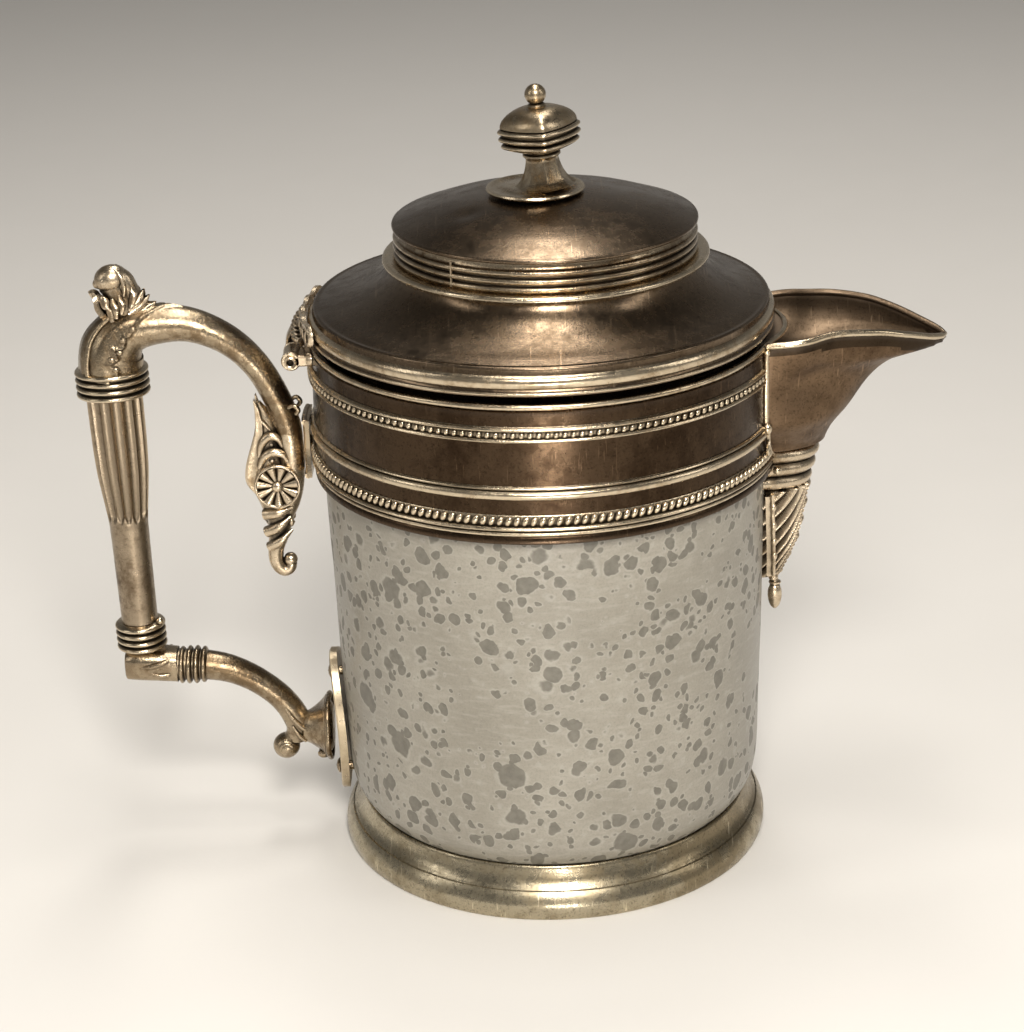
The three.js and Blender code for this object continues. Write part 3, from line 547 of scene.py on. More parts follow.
def enamel():
    """Grey enamel, clouded, with darker rounded islands where the thin top coat has gone, and small chips."""
    n = Nodes("mottled_enamel")
    drift = n.node("ShaderNodeTexNoise", Scale=230.0, Detail=3.0, Vector=n.place)
    shake = n.node("ShaderNodeVectorMath", {"operation": "MULTIPLY_ADD"})
    n.set(shake.inputs[0], drift.outputs["Color"])
    shake.inputs[1].default_value = (0.0024, 0.0024, 0.0034)
    n.set(shake.inputs[2], n.place)
    islands = None
    grouped = n.remap(n.noise(58, 2, 0.5), 0.36, 0.42)
    for scale, low, high in ISLAND_SIZES:
        cells = n.node("ShaderNodeTexVoronoi", {"feature": "F1"}, Scale=scale, Vector=shake.outputs["Vector"])
        chance = n.node("ShaderNodeSeparateColor", Color=cells.outputs["Color"])
        radius = n.remap(chance.outputs["Red"], 0.5, 1.0, low, high)
        radius = n.math("MULTIPLY", radius, grouped)
        shown = n.math("SUBTRACT", radius, cells.outputs["Distance"])
        islands = shown if islands is None else n.math("MAXIMUM", islands, shown)
    patch = n.remap(islands, -0.01, 0.055, smooth=True)
    halo = n.math("SUBTRACT", n.remap(islands, -0.12, 0.0, smooth=True), patch)
    cloud = n.noise(60, 5, 0.6)
    grain = n.noise(2400, 4, 0.7)
    streak = n.noise(1.0, 3, 0.6, n.stretched(240, 240, 1100))
    ground = n.colours(n.remap(cloud, 0.3, 0.7), GREY, PALE_GREY)
    ground = n.over(ground, n.remap(grain, 0.45, 0.7), 0.35, GREY_GRAIN)
    ground = n.over(ground, n.remap(streak, 0.5, 0.72), 0.4, GREY_STREAK)
    ground = n.over(ground, halo, 0.35, GREY_HALO, limit=True)
    inside = n.colours(n.remap(n.noise(700, 4, 0.6), 0.35, 0.7), ISLAND, PALE_ISLAND)
    colour = n.over(ground, patch, 0.88, inside)
    chips = n.node("ShaderNodeTexVoronoi", {"feature": "F1"}, Scale=120.0, Vector=shake.outputs["Vector"])
    few = n.node("ShaderNodeSeparateColor", Color=chips.outputs["Color"])
    chip_size = n.remap(few.outputs["Green"], 0.86, 1.0, 0.0, 0.085)
    chipped = n.remap(n.math("SUBTRACT", chip_size, chips.outputs["Distance"]), 0.0, 0.015)
    colour = n.colours(chipped, colour, CHIPPED)
    # Painted shade: recesses found by ambient occlusion are darkened.
    colour = n.over(colour, n.crevice(0.0022, 0.4, 0.85), 0.8, RECESS_SHADE)
    rough = n.math("ADD", n.remap(cloud, 0.3, 0.7, 0.34, 0.46), n.math("MULTIPLY", patch, 0.14))
    height = n.math("SUBTRACT", n.math("MULTIPLY", grain, 0.3), n.math("ADD", patch, chipped))
    normal = n.bump(height, 0.00005)
    normal = n.bump(n.noise(500, 3, 0.5), 0.00004, normal)
    return n.finish(colour, rough, normal, Specular_IOR_Level=0.55, Coat_Weight=0.18, Coat_Roughness=0.22)


SILVER = plated("bright_plate", (0.62, 0.52, 0.375), (0.26, 0.18, 0.1), (0.016, 0.01, 0.006), 0.2)
GRIP_METAL = plated("grip_plate", (0.345, 0.277, 0.198), (0.145, 0.103, 0.064), (0.024, 0.016, 0.01), 0.29)
ORNAMENT = plated(
    "cast_plate", (0.64, 0.53, 0.385), (0.29, 0.205, 0.118), (0.01, 0.006, 0.004), 0.25,
    reach=0.0016, grain=0.00008,
)
COLLAR_METAL = turned_sheet(
    "collar_plate", (0.066, 0.043, 0.026), (0.033, 0.02, 0.0115), (0.009, 0.0055, 0.003), 0.18,
)
LID_METAL = turned_sheet("lid_plate", (0.2, 0.148, 0.1), (0.11, 0.077, 0.048), (0.02, 0.013, 0.007), 0.16)
SPOUT_METAL = turned_sheet(
    "spout_plate", (0.175, 0.116, 0.07), (0.09, 0.056, 0.032), (0.018, 0.011, 0.006), 0.36, dull=0.1,
)
SATIN = turned_sheet("satin_plate", (0.17, 0.122, 0.081), (0.1, 0.069, 0.044), (0.03, 0.02, 0.012), 0.4)
# Painted shadow: the dark band under the spout's rim.
RIM_SHADOW = plated("painted_rim_shadow", (0.05, 0.034, 0.021), (0.026, 0.017, 0.01), (0.008, 0.005, 0.003), 0.42)
FOOT_METAL = turned_sheet("foot_plate", (0.45, 0.395, 0.285), (0.26, 0.212, 0.135), (0.03, 0.02, 0.011), 0.19)
STEEL = plated("pin_steel", (0.42, 0.39, 0.34), (0.2, 0.16, 0.12), (0.03, 0.02, 0.015), 0.35)
ENAMEL = enamel()

# ------------------------------------------------------------------ pot and foot

POT_R, POT_R_LOW, POT_WALL, POT_TOP = 40.6, 39.3, 1.0, 98.5
POT_UNDER, POT_FLOOR, POT_STRAIGHT = 8.4, 9.4, 19.5  # heights: underside, floor, foot of the straight wall
COLLAR_R, COLLAR_LOW, COLLAR_TOP = 41.9, 74.8, 98.7
SEAM = 0.1  # how far the mouldings stand off the sleeve
WINDOW = {"half": 8.5, "low": 81.0, "high": 92.6, "corner": 3.0}


def cut_through(thing, tool):
    """Takes the space of the shape tool out of a piece."""
    mesh = frame_mesh("tool", tool)
    tidy(mesh)
    cutter = show("tool", mesh)
    step = thing.modifiers.new("cut", "BOOLEAN")
    step.operation = "DIFFERENCE"
    step.solver = "EXACT"
    step.object = cutter
    graph = bpy.context.evaluated_depsgraph_get()
    result = bpy.data.meshes.new_from_object(thing.evaluated_get(graph))
    result.name = thing.name
    thing.modifiers.clear()
    thing.data = result
    bpy.data.objects.remove(cutter)
    bpy.data.meshes.remove(mesh)


def window_tool():
    half, low, high, c = WINDOW["half"], WINDOW["low"], WINDOW["high"], WINDOW["corner"]
    corners = (
        (half - c, low + c, -90, 0), (half - c, high - c, 0, 90),
        (c - half, high - c, 90, 180), (c - half, low + c, 180, 270),
    )
    outline = [p for y, z, a, b in corners for p in arc(y, z, c, c, a, b, 8)]
    return loft([[(x, y, z) for y, z in outline] for x in (34, 48)])


def enamel_pot():
    turn = [(33.6, POT_UNDER), (34.7, 8.55), (36.6, 9.6), (38.2, 12.1), (39.0, 15.4)]
    shoulder = spline([*turn, (POT_R_LOW, POT_STRAIGHT)], 6)
    wall = [(mix(POT_R_LOW, POT_R, t), mix(POT_STRAIGHT, COLLAR_LOW, t)) for t in spread(0.04, 1, 24)]
    top = arc(POT_R - POT_WALL / 2, POT_TOP - 0.5, 0.5, 0.5, 0, 180, 7)
    inner = [(r - POT_WALL, z) for r, z in reversed(wall)]
    heel = [(r - 0.9, z + 0.75) for r, z in reversed(shoulder)]
    outside = [(0, POT_UNDER), (20, POT_UNDER), *shoulder, *wall, (POT_R, 90), *top]
    profile = [*outside, *inner, *heel, (20, POT_FLOOR), (0, POT_FLOOR)]
    shape = dent(lathe(profile, 200), 0.12, 16)
    pot = piece("enamel_pot_look", shape, "jug", "enamel", ENAMEL, sharp=45)
    cut_through(pot, window_tool())


def foot_ring():
    cove = spline(
        [(36.3, 9.2), (36.7, 9.3), (37.0, 9.0), (37.3, 8.1), (37.7, 7.0), (38.2, 6.1), (38.7, 5.5)], 5,
    )
    crease = [(38.82, 5.3), (38.9, 5.25)]
    band = spline(
        [(39.15, 5.2), (39.6, 4.6), (40.05, 3.75), (40.4, 2.8), (40.5, 1.7), (40.35, 0.7), (40.2, 0.25)],
        5,
    )
    lip = [(40.0, 0.02), (39.2, 0.0), (38.8, 0.25), (38.75, 1.0)]
    under = spline([(38.75, 3.2), (37.8, 5.2), (36.1, 6.8), (33.7, 7.2)], 4)
    profile = [*cove, *crease, *band, *lip, *under, (33.6, 8.1), (35.2, 8.3)]
    shape = dent(lathe(profile, 200, closed=True), 0.1, 14, seed=3)
    piece("foot_ring_look", shape, "jug", "dull_plate", FOOT_METAL)


enamel_pot()
foot_ring()

# ------------------------------------------------------------------ collar

BEAD_PITCH = 1.45


def spout_gap(half):
    """The angle either side of the spout at which a moulding stops, half a width from the spout's middle."""
    return math.asin(half / COLLAR_R)


def moulding(lines, gap):
    """Rounded lines joined into one band. A line is (middle height, height, how far it stands out)."""
    base = COLLAR_R + SEAM
    outer = [p for z, height, proud in lines for p in arc(base, z, proud, height / 2, -90, 90, 7)]
    low, high = outer[0][1] - 0.05, outer[-1][1] + 0.05
    profile = [(base - 0.05, low), *outer, (base - 0.05, high)]
    edge = spout_gap(gap)
    return lathe(profile, 300, closed=True, start=edge, stop=TAU - edge)


def bead_row(z, height, width, r, slant, gap):
    """A row of small beads, each leaning along the band."""
    edge = spout_gap(gap) + 0.01
    count = round((TAU - 2 * edge) * r / BEAD_PITCH)
    shape = Shape()
    for i in range(count):
        angle = mix(edge, TAU - edge, (i + 0.5) / count)
        out = Vector((math.cos(angle), math.sin(angle), 0))
        along = Vector((-math.sin(angle), math.cos(angle), 0))
        tall = Vector((0, 0, 1)) * math.cos(slant) + along * math.sin(slant)
        flat = along * math.cos(slant) - Vector((0, 0, 1)) * math.sin(slant)
        axes = (out * (0.5 * width), flat * (0.5 * width), tall * (0.5 * height))
        shape.join(ball(out * r + Vector((0, 0, z)), axes, 6, 10))
    return shape


def collar_sleeve():
    inner = POT_R + 0.15
    outside = [
        (0.2, COLLAR_LOW), (0.38, 75.0), (0.4, 75.5), (0.2, 76.1), (0, 76.4), (0, 79), (0, 82), (0, 86),
        (0, 90), (0, 94), (0, 97.6), (-0.1, 98.5), (-0.4, COLLAR_TOP),
    ]
    profile = [(inner, 74.85), *[(COLLAR_R + proud, z) for proud, z in outside], (inner, COLLAR_TOP)]
    shape = dent(lathe(profile, 240, closed=True), 0.06, 12, seed=5)
    sleeve = piece("collar_sleeve_look", shape, "jug", "tarnished_plate", COLLAR_METAL)
    cut_through(sleeve, window_tool())


LIP_HALF, LIP_REACH = math.radians(19), 2.7
WIRE_R, WIRE_Z, WIRE_THICK = 41.35, 99.3, 0.55  # the wire on the collar's rim


def lip(angle):
    """How far the rim is drawn out into the spout to make a pouring lip."""
    off = abs((angle + math.pi) % TAU - math.pi) / LIP_HALF
    return LIP_REACH * math.cos(math.pi / 2 * min(1.0, off)) ** 1.2


def collar_rim_wire():
    ring = arc(WIRE_R, WIRE_Z, WIRE_THICK, WIRE_THICK, 0, 330, 12)

    def lumpy(angle, _, r, z):
        lump = noise.noise(Vector((7 * math.cos(angle), 7 * math.sin(angle), 1.5)))
        swell = 1 + 0.22 * max(0.0, lump)
        return WIRE_R + (r - WIRE_R) * swell + lip(angle), WIRE_Z + (z - WIRE_Z) * swell

    def ledge(angle, index, r, z):
        return r + lip(angle) * (index in (1, 2)), z

    shape = lathe(ring, 320, closed=True, swell=lumpy)
    section = [(40.9, 99.0), (WIRE_R, 99.0), (WIRE_R, 99.5), (40.9, 99.5)]
    under_lip = lathe(section, 40, True, -LIP_HALF, LIP_HALF, ledge)
    under_lip.finish = [1] * len(under_lip.faces)
    shape.join(under_lip)
    piece("collar_rim_wire_look", shape, "jug", "bright_plate", SILVER, SATIN)


UPPER_GAP, LOWER_GAP = 16.1, 12.2  # half widths that the mouldings leave free for the spout


def collar_mouldings():
    upper = moulding(((93.62, 0.85, 0.6), (94.6, 1.1, 0.1), (95.58, 0.85, 0.6)), UPPER_GAP)
    upper.join(bead_row(94.6, 1.25, 0.95, COLLAR_R + 0.3, 0.45, UPPER_GAP))
    piece("upper_bead_moulding_look", upper, "jug", "bright_plate", SILVER)
    ridge = moulding(((83.7, 1.75, 0.75), (84.98, 0.6, 0.4)), UPPER_GAP)
    piece("middle_ridge_look", ridge, "jug", "bright_plate", SILVER)
    lower = moulding(((76.75, 0.9, 0.55), (77.75, 1.0, 0.85), (79.2, 1.75, 0.15)), LOWER_GAP)
    lower.join(bead_row(79.2, 1.95, 1.15, COLLAR_R + 0.42, 0.5, LOWER_GAP))
    piece("lower_bead_moulding_look", lower, "jug", "bright_plate", SILVER)


collar_sleeve()
collar_rim_wire()
collar_mouldings()

# ------------------------------------------------------------------ spout

# Keel of the spout and its half width on the collar, by height; plan of the beak, by the share of its
# reach; and height of the rim, by its distance from the pot's axis.
KEEL = [(69, 48.9), (75.5, 50.9), (80.1, 52.7), (84.7, 56.1), (89.8, 60), (93, 64.5), (95.4, 73.4)]
ROOT_HALF = [(69, 8), (77.5, 8.8), (80.5, 11.4), (85, 14.2), (110, 14.2)]
MOUTH = [(0, 1), (0.18, 0.93), (0.36, 0.76), (0.56, 0.665), (0.74, 0.52), (0.89, 0.34), (0.97, 0.16), (1, 0)]
RIM = [(38, 98.8), (46.3, 99.7), (52.7, 100.3), (59.4, 99.8), (65, 98.4), (69.9, 96.7), (73.4, 95.6)]
ROOT_X = 38.0
SPOUT_FLOOR = 77.4
SPOUT_WALL = 1.0
SPOUT_FACE = COLLAR_R + 0.12
SPOUT_FLARE = 0.22  # share by which the mouth opens beyond its root


def spout_point(s, z, inset):
    """A point of the spout's near wall. s runs from 0 inside the collar to 1 at the keel."""
    reach = ramp(KEEL, z) - inset
    wide = ramp(ROOT_HALF, z) - inset
    beak = smoothstep(z, 84, 95.4)
    flare = 1 + SPOUT_FLARE * smoothstep(z, 90.5, 98.5) * min(1.0, 1.35 * math.sin(math.pi * s))
    width = wide * flare * mix(math.sqrt(max(0, 1 - s * s)), ramp(MOUTH, s), beak)
    return Vector((mix(ROOT_X, reach, s), -width, z))


def spout_start(z, inset):
    """The share at which the wall leaves the collar."""
    low, high = 0.0, 0.6
    for _ in range(24):
        middle = (low + high) / 2
        p = spout_point(middle, z, inset)
        low, high = (middle, high) if math.hypot(p.x, p.y) < SPOUT_FACE else (low, middle)
    return high


def spout_column(u, inset, floor, rows):
    """Points up the wall at share u of the way from the collar to the keel."""

    def at(z):
        start = spout_start(z, inset)
        return spout_point(mix(start, 1, math.sin(math.pi / 2 * u)), z, inset)

    top = 97.0
    for _ in range(12):
        top = mix(top, ramp(RIM, at(top).x), 0.7)
    return [at(mix(floor, top, t)) for t in spread(0, 1, rows)]


def spout_wall(inset, floor, columns=44, rows=36):
    near = [spout_column(u, inset, floor, rows) for u in spread(0, 1, columns)]
    far = [[Vector((p.x, -p.y, p.z)) for p in column] for column in reversed(near[:-1])]
    return near + far


def spout_shell():
    outer = spout_wall(0.0, SPOUT_FLOOR)
    inner = spout_wall(SPOUT_WALL, SPOUT_FLOOR + SPOUT_WALL)
    count, rows = len(outer), len(outer[0])
    skin = grid_faces(count, rows)
    shape = Shape().add([p for c in outer for p in c], skin)

    def stain_and_shadow(face):
        """True in the painted shadow under the rim, which widens towards the beak."""
        column, row = divmod(face[0], rows)
        near_beak = 1 - abs(2 * column / (count - 1) - 1)
        return row >= rows - 3 - round(3 * near_beak)

    shape.finish = [2 if stain_and_shadow(face) else 0 for face in skin]
    shape.add([p for c in inner for p in c], [tuple(reversed(f)) for f in skin], 1)
    shift = count * rows
    for i in range(count - 1):
        a, b = i * rows + rows - 1, (i + 1) * rows + rows - 1
        shape.faces.append((a, b, shift + b, shift + a))
        shape.finish.append(1)
    for column in (0, count - 1):
        for j in range(rows - 1):
            a, b = column * rows + j, column * rows + j + 1
            shape.faces.append((a, b, shift + b, shift + a))
            shape.finish.append(1)
    bottom = [i * rows for i in range(count)]
    shape.faces += [tuple(bottom), tuple(shift + i for i in reversed(bottom))]
    shape.faces.append((bottom[0], bottom[-1], shift + bottom[-1], shift + bottom[0]))
    shape.finish += [0, 1, 1]
    piece("spout_shell_look", shape, "jug", "tarnished_plate", SPOUT_METAL, SATIN, RIM_SHADOW, sharp=50)


def spout_rim_bead():
    """The rolled edge, a flattened bead that follows the rim round the beak and back."""
    walls = spout_wall(0.35, SPOUT_FLOOR, columns=60, rows=2)
    path = [column[1] + Vector((0, 0, 0.55)) for column in walls]

    def size(t):
        ease = 1 - 0.35 * math.exp(-((t - 0.5) / 0.06) ** 2)
        return 0.72 * ease, 0.62 * ease

    sides = 14
    shape = sweep(path, size, sides, side=(0, 0, 1))

    def outside(face):
        """True on the outer half of the bead, which keeps the bright plate; the inner half takes the darker
        satin plate as painted shade.
        """
        root = path[min(face[0] // sides, len(path) - 1)]
        middle = sum((shape.points[i] for i in face), Vector()) / len(face)
        return (middle - root).dot(Vector((0.3, math.copysign(1.0, root.y), 0.0))) > 0

    shape.finish = [0 if outside(face) else 1 for face in shape.faces]
    piece("spout_rim_bead_look", shape, "jug", "bright_plate", SILVER, SATIN)


def spout_root_strip(side, name):
    """The joint strip with its knob, and the scrolled fillet that runs on down to the reeds."""

    def on_collar(y, z, lift=0.3):
        r = COLLAR_R + lift
        return Vector((math.sqrt(r * r - y * y), side * y, z))

    bar = [on_collar(15.1, z) for z in spread(85.4, 98.5, 14)]
    shape = sweep(bar, lambda t: (0.5 + 0.25 * (t > 0.9), 0.5), 12, side=(1, 0, 0))
    shape.join(egg(on_collar(15.2, 84.6, 0.55), (0.9, 1.15, 1.25), 10, 16))
    shape.join(egg(on_collar(15.1, 98.7, 0.4), (0.7, 0.8, 0.6), 8, 12))
    fillet = ((14.9, 83.6), (14.6, 81.8), (13.4, 79.8), (11.4, 78.4), (9.6, 77.2))
    path = [on_collar(y, z, 0.55) for y, z in fillet]
    shape.join(tapered(path, (0.5, 0.45, 0.42, 0.45, 0.5), 10, side=(1, 0, 0)))
    scroll = ((15.4, 82.2), (16.1, 81.4), (16.2, 80.4), (15.4, 79.8), (14.9, 80.4))
    path = [on_collar(y, z, 0.9) for y, z in scroll]
    shape.join(tapered(path, (0.3, 0.34, 0.36, 0.34, 0.3), 8, side=(1, 0, 0)))
    shape.join(sphere(on_collar(10.3, 74.6, 1.3), 0.85))
    piece(name, shape, "jug", "bright_plate", SILVER)


SHELL_METAL = plated(
    "shell_plate", (0.64, 0.53, 0.385), (0.3, 0.21, 0.12), (0.01, 0.006, 0.004), 0.25, reach=0.0026,
    grain=0.00008,
)
# Painted shade: a near-black plate laid into the grooves between ribs, reeds and petals.
GROOVE_SHADE = plated("groove_shade", (0.07, 0.05, 0.03), (0.03, 0.02, 0.012), (0.008, 0.005, 0.003), 0.45)
REED_LOW, REED_HIGH, REED_COUNT = 69.3, 77.1, 3
THROAT_HALF, THROAT_REACH = 8.6, 50.2


def spout_reeded_band():
    """Three reeds round the throat, dipping a little towards the keel."""
    rows, cols = 40, 49
    rings, finish = [], []
    for j in range(rows + 1):
        t = j / rows
        phase = (t * REED_COUNT) % 1.0
        swell = 1.15 * max(0.0, math.sin(math.pi * phase)) ** 0.6 - 0.45
        z = mix(REED_LOW, REED_HIGH, t)
        shrink = 0.25 * (REED_HIGH - z)
        ring = []
        for i in range(cols):
            a = mix(-math.pi / 2, math.pi / 2, i / (cols - 1))
            x = ROOT_X + (THROAT_REACH - ROOT_X - shrink + swell) * math.cos(a)
            y = (THROAT_HALF - 0.3 * shrink + swell) * math.sin(a)
            ring.append((x, y, z + 0.35 - 0.9 * math.cos(a) ** 2))
        rings.append(ring)
        # The grooves between the reeds take the painted groove shade.
        finish += [0 if swell > -0.05 else 1] * cols
    shape = loft(rings)
    shape.finish = [finish[face[0]] for face in shape.faces]
    piece("spout_reeded_band_look", shape, "jug", "bright_plate", SHELL_METAL, GROOVE_SHADE, sharp=60)


LEAF_TIP, LEAF_TOP = 49.6, 69.0
LEAF_KEEL = [(49.6, 43.4), (53.6, 45.1), (57.6, 46.7), (63.4, 47.9), (69, 48.8)]
LEAF_HALF = [(49.6, 1.6), (53.6, 3.4), (57.6, 5), (63.4, 6.6), (69, 7.8)]


def palmette_wave(h, u):
    """How far a point of the palmette is on a rib, 0 to 1, by the shares of its height and its reach."""
    pitch, bend = 0.185, 3.4
    start = h + math.log(1 - min(0.955, u)) / bend
    return math.cos(math.pi * (start - 0.05) / pitch) ** 2


def spout_leaf():
    """A palmette: ribs leave the back strip one above the other and sweep up towards the keel."""
    rows, cols = 170, 121
    rings = []
    on_rib = []
    for j in range(rows + 1):
        h = j / rows
        z = mix(LEAF_TIP, LEAF_TOP, h)
        ring = []
        for i in range(cols):
            a = mix(-math.pi / 2, math.pi / 2, i / (cols - 1))
            u = math.cos(a)
            wave = palmette_wave(h, u)
            fade = smoothstep(u, 0.0, 0.12) * smoothstep(h, 0.0, 0.06)
            swell = (1.4 * wave ** 1.3 - 0.95) * fade
            flat = Vector((math.cos(a), math.sin(a), 0))
            base = Vector((mix(ROOT_X, ramp(LEAF_KEEL, z), math.cos(a)), ramp(LEAF_HALF, z) * math.sin(a), z))
            ring.append(base + flat * swell)
            on_rib.append(wave > 0.24 or u < 0.1)
        rings.append(ring)
    shape = loft(rings)
    # Between the ribs the faces take the painted groove shade.
    shape.finish = [0 if on_rib[min(face[0], len(on_rib) - 1)] else 1 for face in shape.faces]
    piece("spout_leaf_look", shape, "jug", "bright_plate", SHELL_METAL, GROOVE_SHADE, sharp=70)


def spout_leaf_backplate():
    """The bedding strip, beaded down both edges."""
    edge = [(50.4, 2.3), (55, 4.3), (62, 7.1), (68.8, 8.7)]
    r_in, r_out = COLLAR_R - 1.0, COLLAR_R + 0.05
    rings = []
    for z in spread(50.2, 68.8, 30):
        half = ramp(edge, z)
        across = [half * s for s in spread(-1, 1, 13)]
        outer = [(math.sqrt(r_out ** 2 - y * y), y, z) for y in across]
        inner = [(math.sqrt(r_in ** 2 - y * y), y, z) for y in reversed(across)]
        rings.append(outer + inner)
    shape = loft(rings)
    for side in (-1, 1):
        line = []
        for z in spread(50.6, 69.4, 24):
            half = ramp(edge, z) + 0.1
            wave = 0.16 * math.sin(z * 2.1)
            line.append((math.sqrt((r_out + 0.2) ** 2 - half * half), side * (half + wave), z))
        shape.join(sweep(line, lambda t: (0.42 + 0.1 * math.cos(60 * t), 0.4), 10, side=(1, 0, 0)))
        for z in (66.6, 62.6, 58.8, 55.4):
            half = ramp(edge, z) + 0.35
            centre = (math.sqrt((r_out + 0.35) ** 2 - half * half), side * half, z)
            shape.join(egg(centre, (0.55, 0.55, 0.85), 8, 12))
    piece("spout_leaf_backplate_look", shape, "jug", "dull_plate", ORNAMENT)


def spout_drop_bead():
    body = [
        (0, 42.6), *spline([(0.35, 42.7), (0.95, 43.5), (1.3, 45.0), (1.28, 46.4), (0.95, 47.4)], 4),
        (0.78, 47.55), (0.72, 47.7), *arc(0.75, 48.05, 0.42, 0.34, -90, 90, 6), (0.6, 48.6), (0.62, 49.2),
        (0, 49.25),
    ]
    shape = lathe(body, 40).moved(Matrix.Translation((42.6, 0, 0)))
    shape.join(egg((42.3, 0, 49.0), (0.9, 1.0, 0.7), 8, 14))
    piece("spout_drop_bead_look", shape, "jug", "bright_plate", ORNAMENT)


spout_shell()
spout_rim_bead()
spout_root_strip(-1, "spout_root_strip_near_look")
spout_root_strip(1, "spout_root_strip_far_look")
spout_reeded_band()
spout_leaf()
spout_leaf_backplate()
spout_drop_bead()

# ------------------------------------------------------------------ lid

CAP_SHIFT = 1.2  # the ledge, drum and crown stand this far off the axis, towards the spout
on_lid = Matrix.Translation((CAP_SHIFT, 0, 0))


def lid_shoulder():
    rim = [(41.5, 101.25), (41.85, 101.35), (42.0, 101.7), (41.9, 102.1)]
    band = spline([(41.7, 102.3), (41.45, 103.0), (41.3, 104.0), (41.1, 105.2)], 4)
    line = arc(40.55, 105.75, 0.5, 0.4, -10, 110, 7)
    dome = spline(
        [
            (40.0, 106.1), (38.2, 106.6), (35.6, 107.3), (32.8, 108.4), (30.2, 110.0), (28.5, 111.7),
            (27.6, 113.3),
        ],
        7,
    )
    outside = [*rim, *band, *line, *dome]
    inside = [
        (27.0, 113.3), *[(r - 0.75, z - 0.75) for r, z in reversed(dome)], (39.7, 104.6), (40.6, 103.2),
        (41.0, 101.4),
    ]
    shape = dent(lathe([*outside, *inside], 240, closed=True), 0.09, 15, seed=9)
    shape = shape.warped(lambda p: p + Vector((CAP_SHIFT * smoothstep(p.z, 104.5, 112.5), 0, 0)))
    piece("lid_shoulder_look", shape, "lid", "tarnished_plate", LID_METAL, sharp=30)


def wire_ring(r, z, thick, tall=None):
    tall = tall or thick
    return lathe(arc(r, z, thick, tall, 0, 330, 12), 240, closed=True)


def lid_rim_bead():
    shape = wire_ring(41.1, 103.55, 1.0, 1.3)
    shape.join(wire_ring(41.75, 101.75, 0.3))
    piece("lid_rim_bead_look", shape, "lid", "bright_plate", SILVER)


def lid_bezel():
    profile = [
        (38.1, 95.3), (38.2, 95.2), (38.7, 95.2), (38.9, 95.5), (38.9, 100), (38.9, 105.2), (38.1, 105.2),
        (38.1, 100),
    ]
    piece("lid_bezel_look", lathe(profile, 200, closed=True), "lid", "tarnished_plate", COLLAR_METAL)


def lid_ledge_ring():
    face = [
        (26.2, 113.2), *arc(28.5, 113.8, 0.8, 0.68, -90, 75, 11), (28.0, 114.42), (27.2, 114.3),
        (26.2, 114.2),
    ]
    shape = lathe(face, 240, closed=True).moved(on_lid)
    piece("lid_ledge_ring_look", shape, "lid", "bright_plate", OPEN_SILVER)


def lid_reeded_drum():
    reeds = []
    for z in (115.0, 116.45, 117.9):
        reeds += [(26.55, z - 0.68), *arc(26.6, z, 0.62, 0.58, -80, 80, 9), (26.55, z + 0.68)]
    top = [(26.35, 118.9), (26.3, 119.55)]
    profile = [(26.5, 114.25), *reeds, *top, (25.7, 119.55), (25.7, 114.25)]
    shape = lathe(profile, 240, closed=True)
    seam = [(-16.2, -21.3, z) for z in spread(114.6, 119.0, 8)]
    out = [Vector(p) * (26.95 / math.hypot(p[0], p[1])) for p in seam]
    seam_line = [Vector((o.x, o.y, p[2])) for o, p in zip(out, seam)]
    shape.join(sweep(seam_line, lambda t: (0.22 + 0.14 * math.cos(26 * t) ** 2, 0.24), 8, side=(1, 0, 0)))
    piece("lid_reeded_drum_look", shape.moved(on_lid), "lid", "bright_plate", REED_METAL)


# Place, depth and radius of each dent in the crown.
CROWN_DENTS = ((-13.5, -9.0, 0.28, 2.2), (9.0, -14.0, 0.12, 4.0), (14.5, 6.5, 0.15, 3.2))


def lid_crown():
    edge = [(25.9, 119.6), (26.7, 119.6), *arc(26.95, 120.05, 0.38, 0.42, -70, 90, 8)]
    dome = spline(
        [(26.5, 120.62), (24, 121.55), (20.5, 122.7), (16.5, 123.7), (12, 124.5), (7, 125.05), (2.0, 125.25)],
        6,
    )
    profile = [
        *edge, *dome, (0, 125.25), (0, 124.45), (7, 124.25), (12, 123.7), (18, 122.6), (24, 120.8),
        (25.9, 120.0),
    ]
    shape = lathe(profile, 240)

    def worn(p):
        height = 0.0
        for x, y, depth, radius in CROWN_DENTS:
            height -= depth * math.exp(-((p.x - x) ** 2 + (p.y - y) ** 2) / radius ** 2)
        return p + Vector((0, 0, height + 0.07 * noise.noise(p / 9)))

    piece("lid_crown_look", shape.warped(worn).moved(on_lid), "lid", "tarnished_plate", LID_METAL, sharp=30)


OPEN_SILVER = plated(
    "ledge_plate", (0.62, 0.52, 0.375), (0.3, 0.21, 0.12), (0.03, 0.02, 0.012), 0.2, cover=(0.5, 0.7),
    reach=0.0003,
)
REED_METAL = plated(
    "reed_plate", (0.5, 0.41, 0.29), (0.19, 0.13, 0.075), (0.016, 0.01, 0.006), 0.2, cover=(0.42, 0.6),
)

lid_shoulder()
lid_rim_bead()
lid_bezel()
lid_ledge_ring()
lid_reeded_drum()
lid_crown()

# ------------------------------------------------------------------ finial

FLANGE_X, STUD_X, STEM_X = -0.3, 0.8, 1.45
FACING = math.radians(-83)  # the corner of the square knob that looks towards the spout side of the front
lean = Matrix.Translation((STEM_X, 0, 126)) @ Matrix.Rotation(math.radians(-4.5), 4, "Y")
lean = lean @ Matrix.Translation((0, 0, -126))


def cornered(corners, sharp):
    """Plan factor of a rounded polygon by superellipse, 1 at its corners."""

    def factor(angle):
        a = (angle - FACING) * corners / 4
        return (abs(math.cos(a)) ** sharp + abs(math.sin(a)) ** sharp) ** (-1 / sharp)

    return factor


